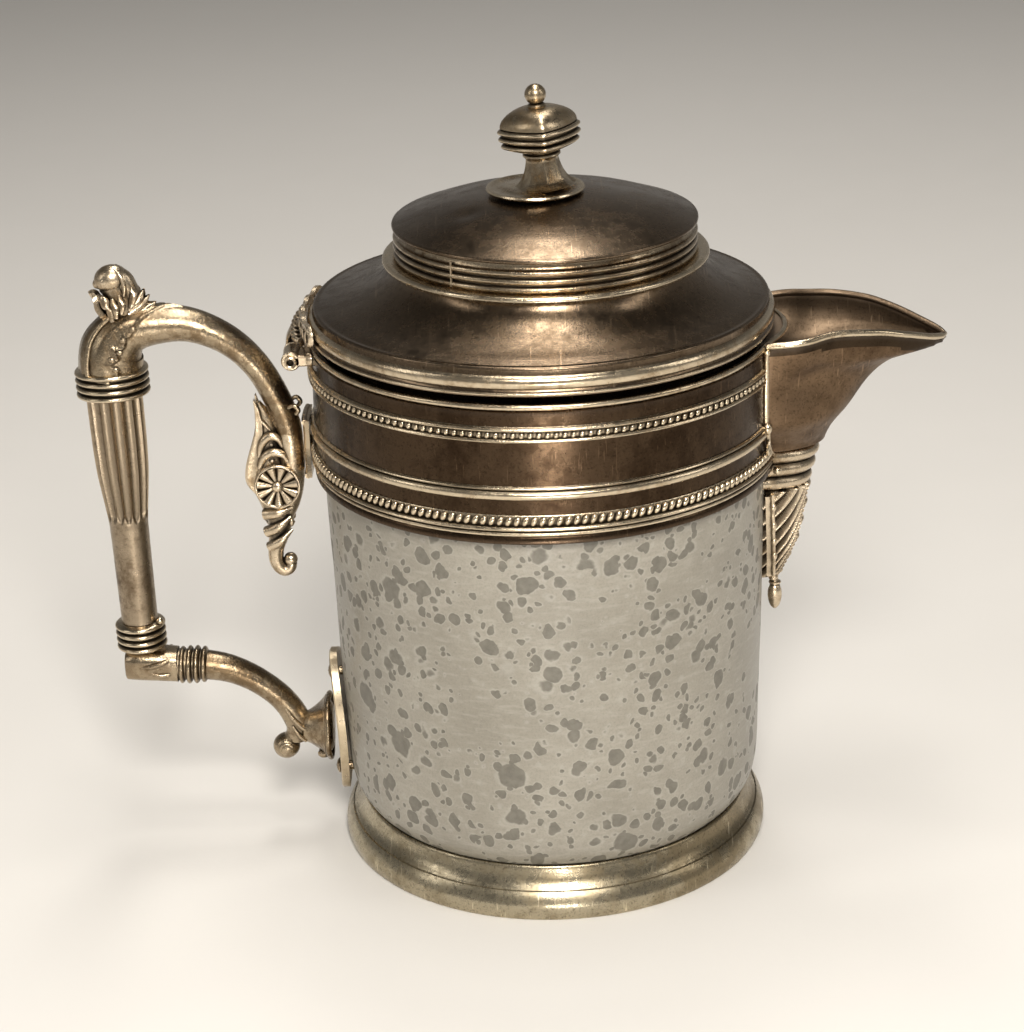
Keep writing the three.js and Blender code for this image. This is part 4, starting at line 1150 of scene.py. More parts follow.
def finial_flange():
    profile = [
        (1.3, 125.4), (5.5, 125.4), (8.1, 125.36), (8.6, 125.5), (8.8, 125.8), (8.65, 126.1), (8.2, 126.2),
        (7.7, 126.02), (6.6, 125.95), (5.9, 126.1), (5.4, 126.2), (1.3, 126.2),
    ]
    shape = lathe(profile, 96, closed=True).moved(Matrix.Translation((FLANGE_X, 0, 0)))
    piece("finial_flange_look", shape, "lid", "bright_plate", SILVER)


def finial_stem():
    flare = spline([(5.9, 126.35), (5.3, 126.6), (4.3, 127.5), (3.5, 128.9), (3.05, 130.4), (2.9, 131.4)], 5)
    collar = [(3.15, 131.55), (3.4, 131.8), (3.35, 132.1), (3.0, 132.3), (3.2, 132.6), (3.6, 132.9)]
    profile = [(0, 126.3), (5.8, 126.3), *flare, *collar, (0, 133)]

    def faceted(angle, _, r, z):
        around = (angle - FACING + math.pi / 8) % (TAU / 8) - math.pi / 8
        flat = math.cos(math.pi / 8) / math.cos(abs(around) - math.pi / 8)
        return r * mix(flat, 1.0, smoothstep(z, 131.0, 131.6)), z

    shape = lathe(profile, 96, start=FACING, stop=FACING + TAU, swell=faceted)
    piece("finial_stem_look", shape.moved(lean), "lid", "bright_plate", SILVER, sharp=18)


def finial_bun():
    ridges = []
    for z, r in ((134.0, 7.0), (135.3, 7.35), (136.6, 7.4)):
        ridges += [(r - 0.75, z - 0.52), *arc(r - 0.42, z, 0.45, 0.4, -80, 80, 7), (r - 0.75, z + 0.52)]
    foot = spline([(3.6, 132.9), (4.8, 133.0), (5.9, 133.3)], 3)
    dome = spline(
        [(6.9, 137.3), (6.75, 138.0), (6.2, 138.8), (5.1, 139.6), (3.5, 140.15), (2.0, 140.4), (0.9, 140.45)],
        5,
    )
    plan = cornered(4, 1.42)

    def squared(angle, _, r, z):
        return r * mix(1.0, plan(angle), smoothstep(r, 2.0, 6.5)), z

    profile = [(0, 132.95), *foot, *ridges, *dome, (0, 140.45)]
    shape = lathe(profile, 160, start=FACING, stop=FACING + TAU, swell=squared)
    # The foot and ridges take the brighter plate as a painted highlight on the ridges; the dome keeps the
    # knob plate.
    shape.finish = [int(shape.points[face[0]][2] < 137.15) for face in shape.faces]
    piece("finial_bun_look", shape.moved(lean), "lid", "bright_plate", KNOB_METAL, SILVER, sharp=32)


def finial_ball():
    neck = [(0, 140.4), (1.6, 140.4), (1.7, 140.6), (1.5, 140.85), (1.15, 141.0)]
    round_part = arc(0, 142.55, 1.9, 1.85, -56, 88, 18)
    shape = lathe([*neck, *round_part, (0, 144.4)], 40)
    piece("finial_ball_look", shape.moved(lean), "lid", "bright_plate", KNOB_METAL)


def finial_fixings():
    stud = lathe(
        [
            (0, 120.6), (0.8, 120.6), (1.0, 120.8),
            *[(0.93 + 0.07 * (k % 2), 121 + 0.28 * k) for k in range(27)], (0, 129),
        ],
        20,
    )
    piece("finial_stud_look", stud.moved(Matrix.Translation((STUD_X, 0, 0))), "lid", "steel", STEEL)

    def hexagonal(angle, _, r, z):
        around = angle % (TAU / 6) - TAU / 12
        return (r * math.cos(TAU / 12) / math.cos(around) if r > 2 else r), z

    nut = [(1.15, 121.6), (2.4, 121.6), (2.7, 121.85), (2.7, 123.85), (2.4, 124.1), (1.15, 124.1)]
    shape = lathe(nut, 96, closed=True, swell=hexagonal)
    piece("finial_nut_look", shape.moved(Matrix.Translation((STUD_X, 0, 0))), "lid", "steel", STEEL, sharp=25)


KNOB_METAL = plated(
    "knob_plate", (0.5, 0.41, 0.285), (0.29, 0.213, 0.128), (0.016, 0.01, 0.006), 0.27, cover=(0.4, 0.62),
)

finial_flange()
finial_stem()
finial_bun()
finial_ball()
finial_fixings()

# ------------------------------------------------------------------ hinge

HINGE_X, HINGE_Z = -44.9, 97.4
KNUCKLE_R, KNUCKLE_BORE, PIN_R = 1.75, 0.86, 0.76
HINGE_HALF, HINGE_MIDDLE, HINGE_GAP = 8.5, 2.8, 0.25
LUG_LOW, LUG_HIGH, LUG_CORNER = 96.4, 98.35, 0.3


on_hinge = Matrix.Translation((HINGE_X, 0, HINGE_Z)) @ Matrix.Rotation(-math.pi / 2, 4, "X")


def knuckle(y0, y1):
    """A barrel about the pin, from y0 to y1; a long one has a waist."""
    r, bore = KNUCKLE_R, KNUCKLE_BORE
    waist = [(r - 0.14, mix(y0, y1, 0.5))] if y1 - y0 > 4 else []
    outside = [
        (r - 0.25, y0), (r, y0 + 0.25), (r, y0 + 0.5), *waist, (r, y1 - 0.5), (r, y1 - 0.25),
        (r - 0.25, y1),
    ]
    inside = [(bore + 0.1, y1), (bore, y1 - 0.1), (bore, y0 + 0.1), (bore + 0.1, y0)]
    return lathe([*outside, *inside], 32, closed=True).moved(on_hinge)


def arc_plate(r_in, r_out, half, z_low, z_high, edge=None):
    """A curved plate on the handle side with rounded ends; edge(y) moves its upper edge."""
    rings = []
    for y in spread(-half, half, 81):
        near = min(1.0, (half - abs(y)) / 1.6)
        rounding = 1 - math.sqrt(max(0, 1 - (1 - near) ** 2))
        low = mix(z_low, (z_low + z_high) / 2, rounding)
        high = mix(z_high, (z_low + z_high) / 2, rounding) + (edge(y) * (1 - rounding) if edge else 0)
        ring = []
        for r, z in (
            (r_in, low), (r_out - 0.15, low), (r_out, low + 0.15), (r_out, high - 0.15),
            (r_out - 0.15, high), (r_in, high),
        ):
            ring.append((-math.sqrt(r * r - y * y), y, z))
        rings.append(ring)
    return loft(rings)


def hinge_body_leaf():
    shape = arc_plate(42.0, 42.9, 8.8, 96.15, 98.75)
    for side in (-1, 1):
        y0, y1 = sorted((side * (HINGE_MIDDLE + HINGE_GAP), side * HINGE_HALF))
        shape.join(knuckle(y0, y1))
        c = LUG_CORNER
        lug = (
            (y0 + c, LUG_LOW), (y1 - c, LUG_LOW), (y1, LUG_LOW + c), (y1, LUG_HIGH - c),
            (y1 - c, LUG_HIGH), (y0 + c, LUG_HIGH), (y0, LUG_HIGH - c), (y0, LUG_LOW + c),
        )
        shape.join(loft([[(x, y, z) for y, z in lug] for x in (-44.0, -43.2, -41.9)]))
        for y in (y0 + 0.5, y1 - 0.5):
            rib = [(x, y, 98.2) for x in spread(-44.2, -42.4, 6)]
            shape.join(sweep(rib, lambda t: (0.32, 0.4), 10, side=(0, 1, 0)))
    piece("hinge_body_leaf_look", shape, "jug", "bright_plate", ORNAMENT)


def hinge_lid_leaf():
    """The plate round the lid's rim, a scalloped border below it and the arm to the middle knuckle."""
    shape = arc_plate(42.4, 43.25, 13.8, 101.45, 105.0, edge=lambda y: 0.25 * math.cos(y * 1.1))
    for y in spread(-12.6, 12.6, 13):
        r = 43.35
        centre = (-math.sqrt(r * r - y * y), y, 103.2 + 0.25 * math.cos(y * 1.1))
        shape.join(egg(centre, (0.35, 0.62, 1.05), 8, 12))
    lobes = []
    for y in spread(-9.6, 9.6, 97):
        wave = abs(math.sin(math.pi * (y + 9.6) / 2.4))
        r = 44.0 + 0.75 * wave
        lobes.append((-math.sqrt(r * r - y * y), y, 101.7 + 0.2 * wave))
    shape.join(sweep(lobes, lambda t: (0.5, 0.42), 12, side=(0, 0, 1)))
    shape.join(knuckle(-HINGE_MIDDLE, HINGE_MIDDLE))
    stations = spline([(-45.9, 97.9), (-45.7, 99.6), (-44.9, 101.1), (-43.7, 102.1), (-42.95, 103.6)], 5)
    shape.join(sweep([(x, 0, z) for x, z in stations], lambda t: (0.5, 2.5), 20, side=(0, 1, 0)))
    piece("hinge_lid_leaf_look", shape, "lid", "bright_plate", ORNAMENT)


def hinge_pin():
    end = HINGE_HALF + 0.15
    head = [(0, -0.6), (0.6, -0.6), (0.64, 0.5), (0.85, 0.62), (1.1, 0.45), (1.1, 0.0), (PIN_R, -0.02)]
    near = [(r, -end - h) for r, h in head]
    far = [(r, end + h) for r, h in reversed(head)]
    profile = [*near, (PIN_R, 0), *far]
    piece("hinge_pin_look", lathe(profile, 24).moved(on_hinge), "jug", "steel", ORNAMENT)


hinge_body_leaf()
hinge_lid_leaf()
hinge_pin()

# ------------------------------------------------------------------ handle

GRIP_TOP, GRIP_LOW = Vector((-78.4, 0, 89.4)), Vector((-77.6, 0, 44.1))
GRIP_RADII = [
    (44.1, 3.4), (55, 3.5), (63.5, 3.6), (67, 3.95), (71.6, 4.5), (75, 4.85), (81, 5.1), (89.4, 5.2),
]
FLUTES, FLUTE_END = 16, 64.6
grip_lean = math.atan2(GRIP_TOP.x - GRIP_LOW.x, GRIP_TOP.z - GRIP_LOW.z)
on_grip = Matrix.Translation(GRIP_LOW) @ Matrix.Rotation(grip_lean, 4, "Y")
on_grip = on_grip @ Matrix.Translation((0, 0, -GRIP_LOW.z))

ARM = [
    (-78.4, 93.4, 5.8, 5.8), (-77.7, 98.4, 5.6, 5.4), (-74.6, 101.6, 4.6, 4.6), (-69.6, 102.5, 3.6, 4.0),
    (-63.4, 102.2, 3.1, 3.6), (-57.0, 99.2, 2.7, 3.3), (-52.2, 94.4, 2.5, 3.1), (-48.9, 88.2, 2.5, 3.0),
    (-47.1, 82.4, 2.5, 2.8), (-46.6, 77.6, 2.2, 2.6),
]
LOWER_ARM = [
    (-71.0, 34.5, 2.95, 3.3), (-64.6, 34.0, 2.75, 3.1), (-60, 32.7, 2.55, 2.9), (-55.4, 30.0, 2.4, 2.7),
    (-51.4, 26.2, 2.4, 2.65), (-49.0, 21.6, 2.5, 2.6), (-49.6, 18.0, 1.9, 2.1),
]


def limb(stations, steps, sides, section=None):
    """A bar through stations of (x, z, half thickness in the handle's plane, half width across it)."""
    dense = spline(stations, steps)
    count = len(dense) - 1

    def size(t):
        _, _, thick, wide = dense[min(round(t * count), count)]
        return thick, wide

    return sweep([(x, 0, z) for x, z, _, _ in dense], size, sides, side=(0, 1, 0), section=section)


def surface_point(stations, t, angle, lift):
    """A point a little above a limb's skin, by share of its length and angle from its inner side."""
    dense = spline(stations, 20)
    path = [Vector((x, 0, z)) for x, z, _, _ in dense]
    index = min(round(t * (len(path) - 1)), len(path) - 2)
    _, _, thick, wide = dense[index]
    at, normal, binormal = frames_along(path, (0, 1, 0))[index]
    return at + normal * ((thick + lift) * math.cos(angle)) + binormal * ((wide + lift) * math.sin(angle))


def ring_stack(low, high, radius, seat, rings, bore):
    pitch = (high - low) / rings
    outside = []
    for k in range(rings):
        z = low + (k + 0.5) * pitch
        outside += [
            (seat, z - 0.47 * pitch), *arc(radius - 0.6, z, 0.6, 0.34 * pitch, -85, 85, 9),
            (seat, z + 0.47 * pitch),
        ]
    return lathe([(bore, low), *outside, (bore, high)], 72, closed=True)


def upper_ferrule():
    shape = ring_stack(89.5, 94.9, 6.75, 5.9, 4, 3.0)

    def bowed(p):
        """The rings sag a little towards the hand and the pot."""
        sag = 0.14 * (math.hypot(p.x, p.y) / 6.75) * math.cos(2 * math.atan2(p.y, p.x))
        return Vector((p.x, p.y, p.z - sag))

    piece("upper_ferrule_look", shape.warped(bowed).moved(on_grip), "jug", "bright_plate", SILVER, sharp=50)


def lower_ferrule():
    shape = ring_stack(38.5, 44.0, 4.75, 3.9, 4, 2.2)
    shape.join(sphere((4.0, -1.6, 44.2), 0.75))
    piece("lower_ferrule_look", shape.moved(on_grip), "jug", "bright_plate", SILVER, sharp=50)


def handle_grip():
    """Tapered tube whose upper half carries round-ended flutes between narrow ridges."""
    heights = [*spread(GRIP_LOW.z, 62.5, 16), *spread(62.8, 69.0, 28), *spread(69.6, GRIP_TOP.z, 30)]
    rings = []
    sides = FLUTES * 10
    for z in heights:
        r = ramp(GRIP_RADII, z)
        ring = []
        for i in range(sides):
            angle = TAU * i / sides
            across = abs(((i / 10) % 1.0) * 2 - 1)
            rounding = math.sqrt(max(0.0, 1 - across ** 2))
            start = FLUTE_END + 2.2 * (1 - rounding)
            depth = 0.14 * r * rounding ** 1.1 * smoothstep(z, start, start + 1.4)
            ring.append(((r - depth) * math.cos(angle), (r - depth) * math.sin(angle), z))
        rings.append(ring)
    piece("handle_grip_look", loft(rings).moved(on_grip), "jug", "dull_plate", GRIP_METAL, sharp=60)


def sheath(t, angle):
    """The acanthus sheath over the shoulder: a raised, veined skin with a lobed edge on the outer side."""
    if t > 0.42:
        return 1.0
    turn = abs(math.pi - angle % TAU)
    lobes = abs(math.sin(math.pi * t * 13.5))
    reach = math.radians(98) * (1 - smoothstep(t, 0.2, 0.42)) + math.radians(16) * lobes * (1 - t * 2)
    edge = smoothstep(reach - turn, 0.0, 0.1)
    rim = math.exp(-((reach - turn - 0.1) / 0.09) ** 2)
    veins = 0.022 * math.cos(9 * turn + 14 * t)
    return 1 + edge * (0.05 + veins) + 0.055 * rim * edge


# Shares of the arm's length, and angles from its outer side in degrees.
SHEATH_SPINE = ((0.015, 52), (0.07, 50), (0.13, 44), (0.19, 36), (0.25, 26), (0.3, 14), (0.34, 2))
SHEATH_KNOBS = ((0.055, 104), (0.1, 96), (0.15, 103), (0.205, 92), (0.262, 78))


def handle_upper_arm():
    shape = limb(ARM, 26, 88, section=sheath)
    for side in (-1, 1):
        spine = [surface_point(ARM, t, math.pi - side * math.radians(a), 0.25) for t, a in SHEATH_SPINE]
        shape.join(tapered(spine, (0.5, 0.55, 0.55, 0.52, 0.46, 0.4, 0.3), 10))
        for t, a in SHEATH_KNOBS:
            at = surface_point(ARM, t, math.pi - side * math.radians(a), 0.15)
            shape.join(egg(at, (0.75, 0.5, 0.55), 8, 12))
    shape.join(arm_joint())
    piece("handle_upper_arm_look", shape, "jug", "bright_plate", ARM_METAL, sharp=50)


def arm_joint():
    """The small scroll between the falling arm and the collar's strap."""
    shape = Shape()
    scroll = [(-46.6, 2.1, 86.4), (-45.4, 2.4, 86.9), (-44.7, 2.4, 86.0), (-45.2, 2.3, 85.2)]
    for side in (-1, 1):
        shape.join(tapered(mirrored(scroll, side), (0.35, 0.45, 0.45, 0.35), 10, side=(0, 1, 0)))
    return shape


FRONDS = (
    # Tip, middle and root of each ragged lobe on one side, and its half widths.
    (((-73.5, 1.0, 110.5), (-72.9, 1.8, 108.7), (-73.7, 2.4, 106.6)), (0.15, 0.8, 0.5)),
    (((-71.3, 0.6, 109.1), (-72.1, 1.7, 107.6), (-73.9, 2.6, 106.0)), (0.15, 0.75, 0.45)),
    (((-70.4, 0.5, 108.0), (-71.7, 1.6, 106.7), (-74.0, 2.8, 105.3)), (0.12, 0.7, 0.45)),
    (((-69.3, 0.4, 106.7), (-71.2, 1.6, 105.7), (-74.4, 3.0, 104.5)), (0.12, 0.75, 0.5)),
    (((-75.4, 2.2, 108.9), (-75.0, 2.9, 107.3), (-75.3, 3.2, 105.6)), (0.3, 0.75, 0.4)),
    (((-76.7, 2.5, 108.3), (-76.3, 3.1, 106.7), (-76.2, 3.4, 104.8)), (0.3, 0.8, 0.45)),
    (
        ((-79.4, 1.5, 108.8), (-78.3, 2.4, 107.9), (-77.3, 3.0, 106.2), (-76.9, 3.4, 104.2)),
        (0.3, 0.95, 0.75, 0.5),
    ),
)


def thumb_ornament():
    """A beaked bud under a hood, in a ragged cup of acanthus lobes that trail down on to the arm."""
    tilt = Matrix.Rotation(math.radians(-12), 3, "Y")
    axes = [tilt @ Vector(v) for v in ((3.1, 0, 0), (0, 2.7, 0), (0, 0, 2.55))]
    shape = ball((-77.0, 0, 111.35), axes, 18, 28)
    shape.join(ball((-79.2, 0, 110.6), ((1.2, 0, 0), (0, 1.0, 0), (0.2, 0, 1.1)), 10, 16))
    for side in (-1, 1):
        shape.join(egg((-77.8, side * 2.1, 111.3), (0.9, 0.55, 0.75), 8, 14))
    core = [
        (-74.6, 103.2, 3.5, 3.0), (-75.4, 106.2, 3.2, 2.9), (-76.2, 108.6, 2.6, 2.4),
        (-76.8, 110.6, 2.2, 2.2),
    ]
    shape.join(limb(core, 6, 28))
    hood = [(-75.6, 0, 111.9), (-74.8, 0, 110.8), (-74.0, 0, 109.0), (-73.2, 0, 106.8), (-72.4, 0, 105.0)]
    shape.join(tapered(hood, (1.7, 1.95, 1.9, 2.0, 1.8), 20, side=(0, 1, 0)))
    edge = [(-76.2, 1.3, 113.5), (-75.0, 1.9, 112.3), (-74.4, 2.2, 110.4), (-74.6, 2.4, 108.6)]
    for side in (-1, 1):
        shape.join(tapered(mirrored(edge, side), (0.2, 0.4, 0.42, 0.2), 10))
        for spine, sizes in FRONDS:
            shape.join(tapered(mirrored(spine, side), sizes, 14, side=(0.4, side * 0.3, -0.85), flat=0.6))
    curl = [(-78.2, 0, 104.2), (-79.4, 0, 106.0), (-79.8, 0, 107.6), (-80.3, 0, 108.5), (-80.9, 0, 108.2)]
    shape.join(leaf(curl, (1.9, 2.2, 1.9, 1.2, 0.5), 0.8, side=(0, 1, 0), ribs=2))
    piece("thumb_ornament_look", shape, "jug", "bright_plate", ORNAMENT, sharp=45)


# Place along X, low and high edge and half width of the elbow's sections.
ELBOW = (
    (-80.8, 32.7, 37.6, 3.0), (-80.55, 32.35, 37.9, 3.35), (-78, 32.1, 38.2, 3.6), (-74, 31.8, 37.9, 3.5),
    (-71.0, 31.5, 37.5, 3.3),
)


def elbow():
    """The squared corner under the lower ferrule, closed by a flat end."""
    rings = []
    for x, low, high, half in ELBOW:
        ring = []
        for k in range(32):
            a = TAU * k / 32
            c, s = math.cos(a), math.sin(a)
            squared = (abs(c) ** 3.4 + abs(s) ** 3.4) ** (-1 / 3.4)
            ring.append((x, half * c * squared, (low + high) / 2 + (high - low) / 2 * s * squared))
        rings.append(ring)
    return loft(rings)


LOWER_ARM_LINES = (
    # Darts on the elbow and ribs on the foot of the arm, on one side, and their radii.
    (
        ((-77.6, 3.45, 35.4), (-75.6, 3.6, 35.7), (-73.8, 3.5, 36.2), (-72.4, 3.3, 36.8)),
        (0.15, 0.45, 0.5, 0.3),
    ),
    (((-75.6, 3.55, 34.2), (-74.2, 3.5, 33.7), (-72.4, 3.4, 33.8)), (0.15, 0.42, 0.3)),
    (
        ((-50.9, 2.5, 25.6), (-49.6, 2.72, 23.4), (-48.2, 2.6, 21.6), (-47.0, 2.5, 20.6)),
        (0.25, 0.45, 0.5, 0.35),
    ),
    (((-49.8, 2.5, 21.8), (-48.6, 2.55, 19.6), (-47.4, 2.3, 18.4)), (0.25, 0.42, 0.35)),
)


def handle_lower_arm():
    shape = elbow()
    shape.join(limb(LOWER_ARM, 12, 40))
    for x, bulge in ((-70.2, 1.0), (-68.8, 1.03), (-67.4, 1.03), (-66.0, 0.98)):
        half_wide, half_high = 3.85 * bulge, 3.5 * bulge
        shape.join(ball((x, 0, 34.3), ((1.0, 0, 0.12), (0, half_wide, 0), (0.1, 0, half_high)), 20, 32))
    for side in (-1, 1):
        for spine, sizes in LOWER_ARM_LINES:
            shape.join(tapered(mirrored(spine, side), sizes, 10))
    shape.join(egg((-51.5, 0, 16.5), (2.6, 2.75, 2.5), 18, 28))
    for side in (-1, 1):
        swirl = []
        for a in spread(0.4, 6.5, 14):
            r = 1.5 * (1 - a / 9)
            swirl.append((-51.5 + r * math.cos(a), side * 2.35, 16.5 + r * math.sin(a)))
        shape.join(tapered(swirl, [0.3] * 14, 8, steps=2))
    shape.join(limb([(-48.9, 20.6, 1.6, 1.9), (-50.2, 18.4, 1.6, 1.9), (-51.5, 17.2, 1.4, 1.7)], 6, 24))
    piece("handle_lower_arm_look", shape, "jug", "bright_plate", ARM_METAL, sharp=50)


PAD_Z = 20.4


def handle_bell_pad():
    """The trumpet-shaped boss on the plate, with cast lobes round its foot."""
    profile = [
        (0, -48.2), (2.4, -48.1),
        *spline([(2.9, -47.7), (3.3, -46.7), (4.1, -45.5), (5.0, -44.4), (6.0, -43.6)], 5),
        *arc(6.1, -42.9, 0.55, 0.55, 100, -90, 8), (4, -42.2), (0, -42.2),
    ]
    turn = Matrix.Translation((0, 0, PAD_Z)) @ Matrix.Rotation(math.pi / 2, 4, "Y")

    def cast(angle, _, r, z):
        return r * (1 + 0.035 * math.cos(5 * angle) * smoothstep(r, 2.0, 5.0)), z

    shape = lathe(profile, 80, swell=cast).moved(turn)
    for y, z, r in ((-2.2, 15.6, 0.9), (2.2, 15.6, 0.9), (0, 15.0, 0.95)):
        shape.join(egg((-44.2, y, z), (1.2, r, r), 10, 14))
    piece("handle_bell_pad_look", shape, "jug", "bright_plate", ARM_METAL)


PLATE = {"z": 22.2, "high": 14.4, "wide": 9.0, "r": 39.95, "lean": 0.55}
PLATE_SECTION = (
    # Share of the plate's width, and height over the pot: its face out to the raised edge, then its back.
    (0.02, 0.95), (0.3, 0.95), (0.6, 0.95), (0.86, 0.95), (0.91, 1.0), (0.94, 1.5), (0.975, 1.62), (1.0, 1.4),
    (1.0, 0.1), (0.9, 0.0), (0.5, 0.0), (0.02, 0.0),
)


def handle_oval_plate():
    """A thin oval plate bedded on the pot, with a raised edge all round."""

    def on_pot(y, z, lift):
        r = PLATE["r"] + PLATE["lean"] * (z - PLATE["z"]) / PLATE["high"] + lift
        return Vector((-math.sqrt(r * r - y * y), y, z))

    around = spread(0, TAU, 73)[:-1]
    rings = []
    for scale, lift in PLATE_SECTION:
        wide, high = PLATE["wide"] * scale, PLATE["high"] * scale
        rings.append([on_pot(math.cos(a) * wide, PLATE["z"] + math.sin(a) * high, lift) for a in around])
    shape = loft(rings)
    piece("handle_oval_plate_look", shape, "jug", "bright_plate", PLATE_METAL)


def plate_rivet(name, z, x_out, x_in):
    """A domed head on the plate at x_out, and a shank clenched inside the pot at x_in."""
    head = [(0, -0.85), *arc(0, 0, 1.5, -0.75, 80, 0, 8)]
    deep = x_out - x_in
    shank = [(0.9, 0.1), (0.9, deep), (1.2, deep + 0.05), (1.15, deep + 0.5), (0, deep + 0.65)]
    turn = Matrix.Translation((-x_out, 0, z)) @ Matrix.Rotation(math.pi / 2, 4, "Y")
    piece(name, lathe([*head, *shank], 28).moved(turn), "jug", "bright_plate", ARM_METAL)


STRAP_R, STRAP_LOW, STRAP_HIGH = 43.0, 73.6, 84.6
STRAP_SECTION = (
    # Share of the strap's half width, and height over its bed.
    (-1, 0), (-0.97, 0.75), (-0.86, 1.1), (-0.72, 0.8), (0, 0.75), (0.72, 0.8), (0.86, 1.1), (0.97, 0.75),
    (1, 0),
)


def handle_collar_strap():
    """A strap bent round the collar, waisted, with raised edges and a bar across each end."""

    def on_collar(y, z, lift):
        r = STRAP_R + lift
        return Vector((-math.sqrt(r * r - y * y), y, z))

    rings = []
    for z in spread(STRAP_LOW, STRAP_HIGH, 26):
        half = 4.2 - 0.5 * math.cos((z - 79.1) / 5.5 * math.pi)
        rings.append([on_collar(half * c, z, lift) for c, lift in STRAP_SECTION])
    shape = loft(rings)
    for z in (STRAP_LOW + 0.3, STRAP_HIGH - 0.3):
        bar = [on_collar(y, z, 0.75) for y in spread(-4.4, 4.4, 14)]
        shape.join(sweep(bar, lambda t: (0.55, 0.55), 10, side=(0, 0, 1)))
    piece("handle_collar_strap_look", shape, "jug", "bright_plate", ARM_METAL)


ARM_METAL = plated(
    "arm_plate", (0.4, 0.322, 0.22), (0.19, 0.134, 0.078), (0.022, 0.014, 0.008), 0.24, cover=(0.41, 0.6),
    pit=0.00003, grain=0.00011,
)
PLATE_METAL = plated("pad_plate", (0.52, 0.43, 0.3), (0.27, 0.2, 0.115), (0.02, 0.013, 0.007), 0.3)

handle_upper_arm()
thumb_ornament()
upper_ferrule()
handle_grip()
lower_ferrule()
handle_lower_arm()
handle_bell_pad()
handle_oval_plate()
plate_rivet("plate_rivet_upper_look", 32.2, 41.8, 38.35)
plate_rivet("plate_rivet_lower_look", 11.8, 41.35, 35.0)
handle_collar_strap()

# ------------------------------------------------------------------ acanthus drop and rosettes

DROP = [
    (-52.2, 87.0, 0.5, 0.7), (-51.2, 83.6, 1.7, 1.4), (-50.9, 80, 2.3, 1.8), (-51.2, 76, 3.1, 2.1),
    (-51.2, 72.4, 3.6, 2.3), (-50.1, 67.6, 3.1, 2.4), (-49.7, 63.6, 2.3, 2.2), (-50.1, 60.6, 1.9, 1.9),
    (-50.8, 57.8, 1.5, 1.6), (-50.8, 55.2, 1.4, 1.5), (-49.7, 53.6, 1.3, 1.4), (-48.5, 53.8, 1.15, 1.3),
    (-48.0, 55.0, 1.0, 1.15),
]
ARM_ROOT = [
    (-47.3, 84.0, 2.2, 2.7), (-46.8, 79.5, 2.4, 2.8), (-46.7, 75, 2.35, 2.7), (-46.9, 70.5, 2.1, 2.5),
    (-47.5, 67.0, 1.7, 2.2), (-48.2, 64.4, 1.1, 1.6),
]


# Outlines by (x, z): the pointed leaf and its half widths, each cup with its place along Y, and the two
# ends of each wrapped leaf with its radius.
DROP_BLADE = (
    (-52.8, 87.9), (-52.3, 85.2), (-52.2, 82), (-52.9, 78.6), (-53.8, 75.2), (-54.2, 72.2), (-53.4, 69.8),
)
DROP_WIDTHS = (0.15, 0.5, 0.8, 1.1, 1.25, 1.1, 0.5)
DROP_CUPS = (
    (((-52.5, 77.0), (-51.8, 79.6), (-50.3, 81.0), (-48.8, 80.5), (-48.1, 78.9)), 2.1),
    (((-52.6, 74.9), (-51.6, 77.0), (-50.0, 78.0), (-48.2, 77.6), (-47.2, 76.1)), 2.5),
)
DROP_WRAPS = (
    ((-52.3, 65.4), (-46.9, 66.8), 1.1), ((-52.1, 61.9), (-47.4, 65.0), 1.1),
    ((-51.8, 58.9), (-47.3, 62.4), 0.95),
)


def at_y(points, y):
    return [(x, y, z) for x, z in points]


def acanthus_drop():
    """Pointed leaf, two scalloped cups, three wrapped leaves and a hooked tail, alike on both sides."""
    shape = limb(DROP, 9, 28)
    shape.join(limb(ARM_ROOT, 8, 28))
    for side in (-1, 1):
        shape.join(leaf(at_y(DROP_BLADE, side * 1.5), DROP_WIDTHS, 0.8, side=(1, 0, 0), ribs=1))
        vein = ((-52.5, 84.6), (-51.3, 83.4), (-50.2, 81.9))
        shape.join(tapered(at_y(vein, side * 1.5), (0.4, 0.45, 0.25), 10))
        for outline, y in DROP_CUPS:
            shape.join(tapered(at_y(outline, side * y), (0.4, 0.72, 0.85, 0.72, 0.35), 12))
            shape.join(egg((-50.2, side * (y - 0.5), outline[2][1] - 1.9), (0.6, 0.45, 0.5), 8, 12))
        for left, right, width in DROP_WRAPS:
            middle = (mix(left[0], right[0], 0.5), mix(left[1], right[1], 0.42))
            shares = ((left, 1.6), (middle, 2.55), (right, 2.0))
            spine = [(x, side * y, z) for (x, z), y in shares]
            shape.join(tapered(spine, (width, 0.85 * width, 0.3 * width), 14, side=(0, 1, 0)))
        shape.join(egg((-47.4, side * 1.8, 63.8), (0.55, 0.5, 0.9), 8, 12))
        shape.join(egg((-49.6, side * 2.3, 66.9), (0.9, 0.5, 0.55), 8, 12))
    shape.join(sphere((-48.2, 0, 55.6), 1.3, 14, 20))
    piece("acanthus_drop_look", shape, "jug", "bright_plate", ORNAMENT, sharp=50)


ROSETTE_X, ROSETTE_Z = -49.4, 71.4
ROSETTE_PETALS = 11
PETAL = ((0.9, 0.4), (1.9, 0.5), (2.9, 0.55), (3.75, 0.6))  # radius and height of its ridge


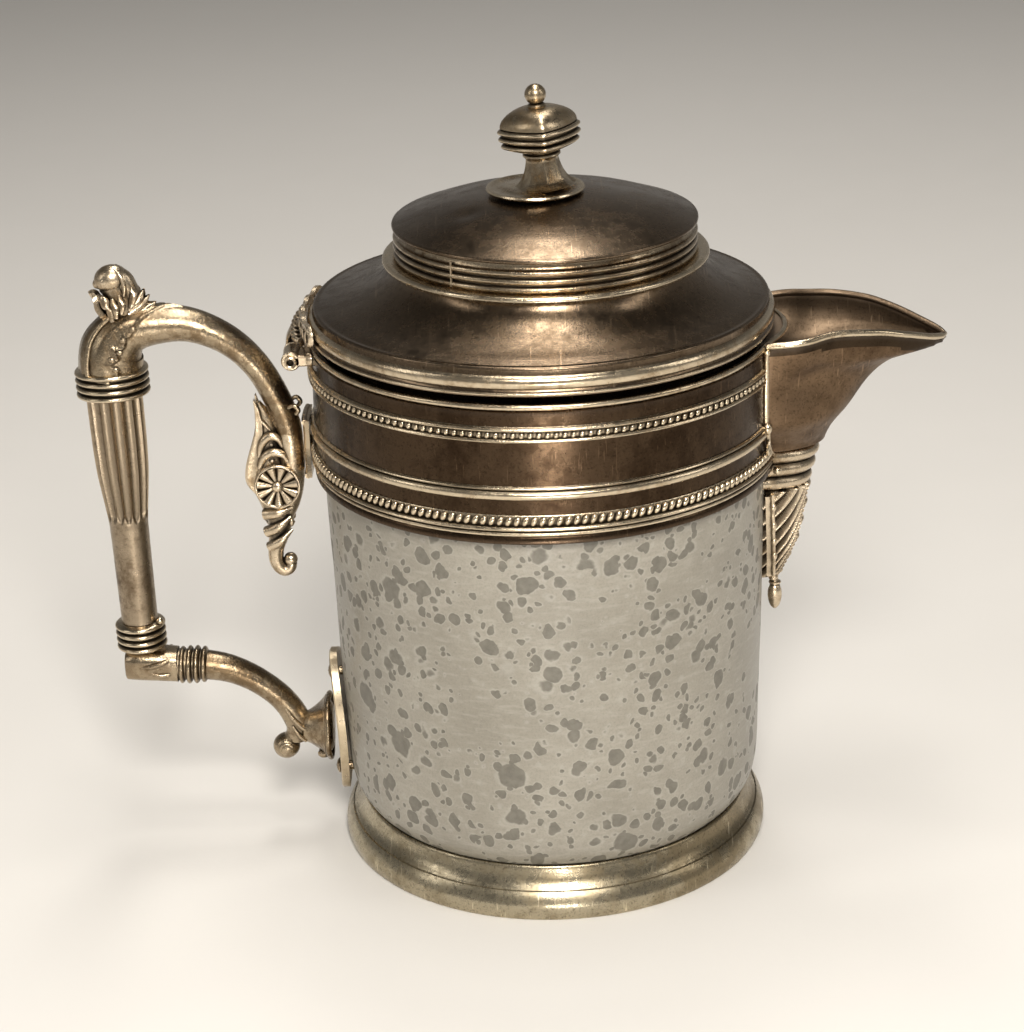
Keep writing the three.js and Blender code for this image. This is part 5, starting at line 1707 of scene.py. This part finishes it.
def rosette(side, name):
    """A dished disc with raised petals round a button, with painted shade in the gaps."""
    dish = [
        (0, 0), (4.15, 0), (4.3, 0.25), *arc(4.0, 0.5, 0.32, 0.36, -10, 150, 8), (3.6, 0.42), (1.4, 0.2),
        (0, 0.2),
    ]
    shape = lathe(dish, 72)
    shape.finish = [1 if max(shape.points[i].xy.length for i in face) < 3.7 else 0 for face in shape.faces]
    for k in range(ROSETTE_PETALS):
        a = TAU * k / ROSETTE_PETALS + 0.15
        out = Vector((math.cos(a), math.sin(a), 0))
        across = tuple(out.cross(Vector((0, 0, 1))))
        spine = [out * r + Vector((0, 0, h)) for r, h in PETAL]
        shape.join(tapered(spine, (0.26, 0.42, 0.66, 0.8), 12, side=across, flat=0.55))
    shape.join(egg((0, 0, 0.55), (1.05, 1.05, 0.75), 12, 20))
    face = Matrix.Rotation(-side * math.pi / 2, 4, "X")
    place = Matrix.Translation((ROSETTE_X, side * 2.55, ROSETTE_Z)) @ face
    piece(name, shape.moved(place), "jug", "bright_plate", ORNAMENT, GROOVE_SHADE, sharp=50)


acanthus_drop()
rosette(-1, "rosette_near_look")
rosette(1, "rosette_far_look")

# ------------------------------------------------------------------ floor and lights


def plain(name, colour, rough):
    n = Nodes(name)
    tone = n.remap(n.noise(3.0, 3, 0.5), 0.35, 0.65)
    shade = n.colours(tone, tuple(0.985 * c for c in colour), colour)
    roughness = n.remap(n.noise(60.0, 3, 0.5), 0.3, 0.7, rough, rough + 0.08)
    return n.finish(shade, roughness, n.bump(n.noise(900, 2), 0.00002))


def make_floor(half):
    mesh = bpy.data.meshes.new("floor")
    corners = [(-half, -half, 0), (half, -half, 0), (half, half, 0), (-half, half, 0)]
    mesh.from_pydata(corners, [], [(0, 1, 2, 3)])
    mesh.materials.append(plain("pale_floor", (0.74, 0.725, 0.7), 0.6))
    floor = show("floor", mesh)


def softbox(name, azimuth, elevation, distance, width, height, power, colour=(1.0, 0.95, 0.88)):
    """A soft light that faces the middle of the jug. Azimuth 0 is behind the camera, 90 is at the spout."""
    a, e = math.radians(azimuth), math.radians(elevation)
    aim = Vector((AXIS_X, 0, 0.07))
    away = Vector((math.sin(a) * math.cos(e), -math.cos(a) * math.cos(e), math.sin(e)))
    data = bpy.data.lights.new(name, "AREA")
    data.shape = "RECTANGLE"
    data.size = width
    data.size_y = height
    data.energy = power
    data.color = colour
    light = show(name, data)
    light.visible_camera = False
    facing = away.to_track_quat("Z", "Y").to_matrix().to_4x4()
    light.matrix_world = Matrix.Translation(aim + away * distance) @ facing


def make_world(low, high, strength):
    world = bpy.data.worlds.new("studio")
    world.use_nodes = True
    tree = world.node_tree
    tree.nodes.clear()
    place = tree.nodes.new("ShaderNodeTexCoord").outputs["Generated"]
    split = tree.nodes.new("ShaderNodeSeparateXYZ")
    tree.links.new(place, split.inputs[0])
    blend = tree.nodes.new("ShaderNodeMapRange")
    tree.links.new(split.outputs["Z"], blend.inputs["Value"])
    blend.inputs["From Min"].default_value = 0.0
    blend.inputs["From Max"].default_value = 0.7
    colour = tree.nodes.new("ShaderNodeMix")
    colour.data_type = "RGBA"
    tree.links.new(blend.outputs["Result"], colour.inputs[0])
    colour.inputs[6].default_value = (*low, 1)
    colour.inputs[7].default_value = (*high, 1)
    shade = tree.nodes.new("ShaderNodeBackground")
    tree.links.new(colour.outputs[2], shade.inputs["Color"])
    shade.inputs["Strength"].default_value = strength
    out = tree.nodes.new("ShaderNodeOutputWorld")
    tree.links.new(shade.outputs[0], out.inputs["Surface"])
    bpy.context.scene.world = world


bpy.context.scene.view_settings.view_transform = "Standard"
make_floor(4.0)
make_world((0.30, 0.29, 0.275), (0.07, 0.067, 0.063), 1.0)
softbox("key", 4, 40, 0.8, 0.22, 0.3, 6.5)
softbox("left_fill", -70, 30, 1.1, 0.2, 0.7, 1.2)
softbox("right_fill", 74, 32, 1.2, 0.2, 0.8, 1.6)
softbox("top_back", 178, 66, 0.9, 0.2, 0.34, 2.4)
softbox("overhead", 0, 86, 0.7, 0.15, 0.3, 1.7)
softbox("low_card", 3, -13, 0.31, 0.055, 0.05, 0.3)
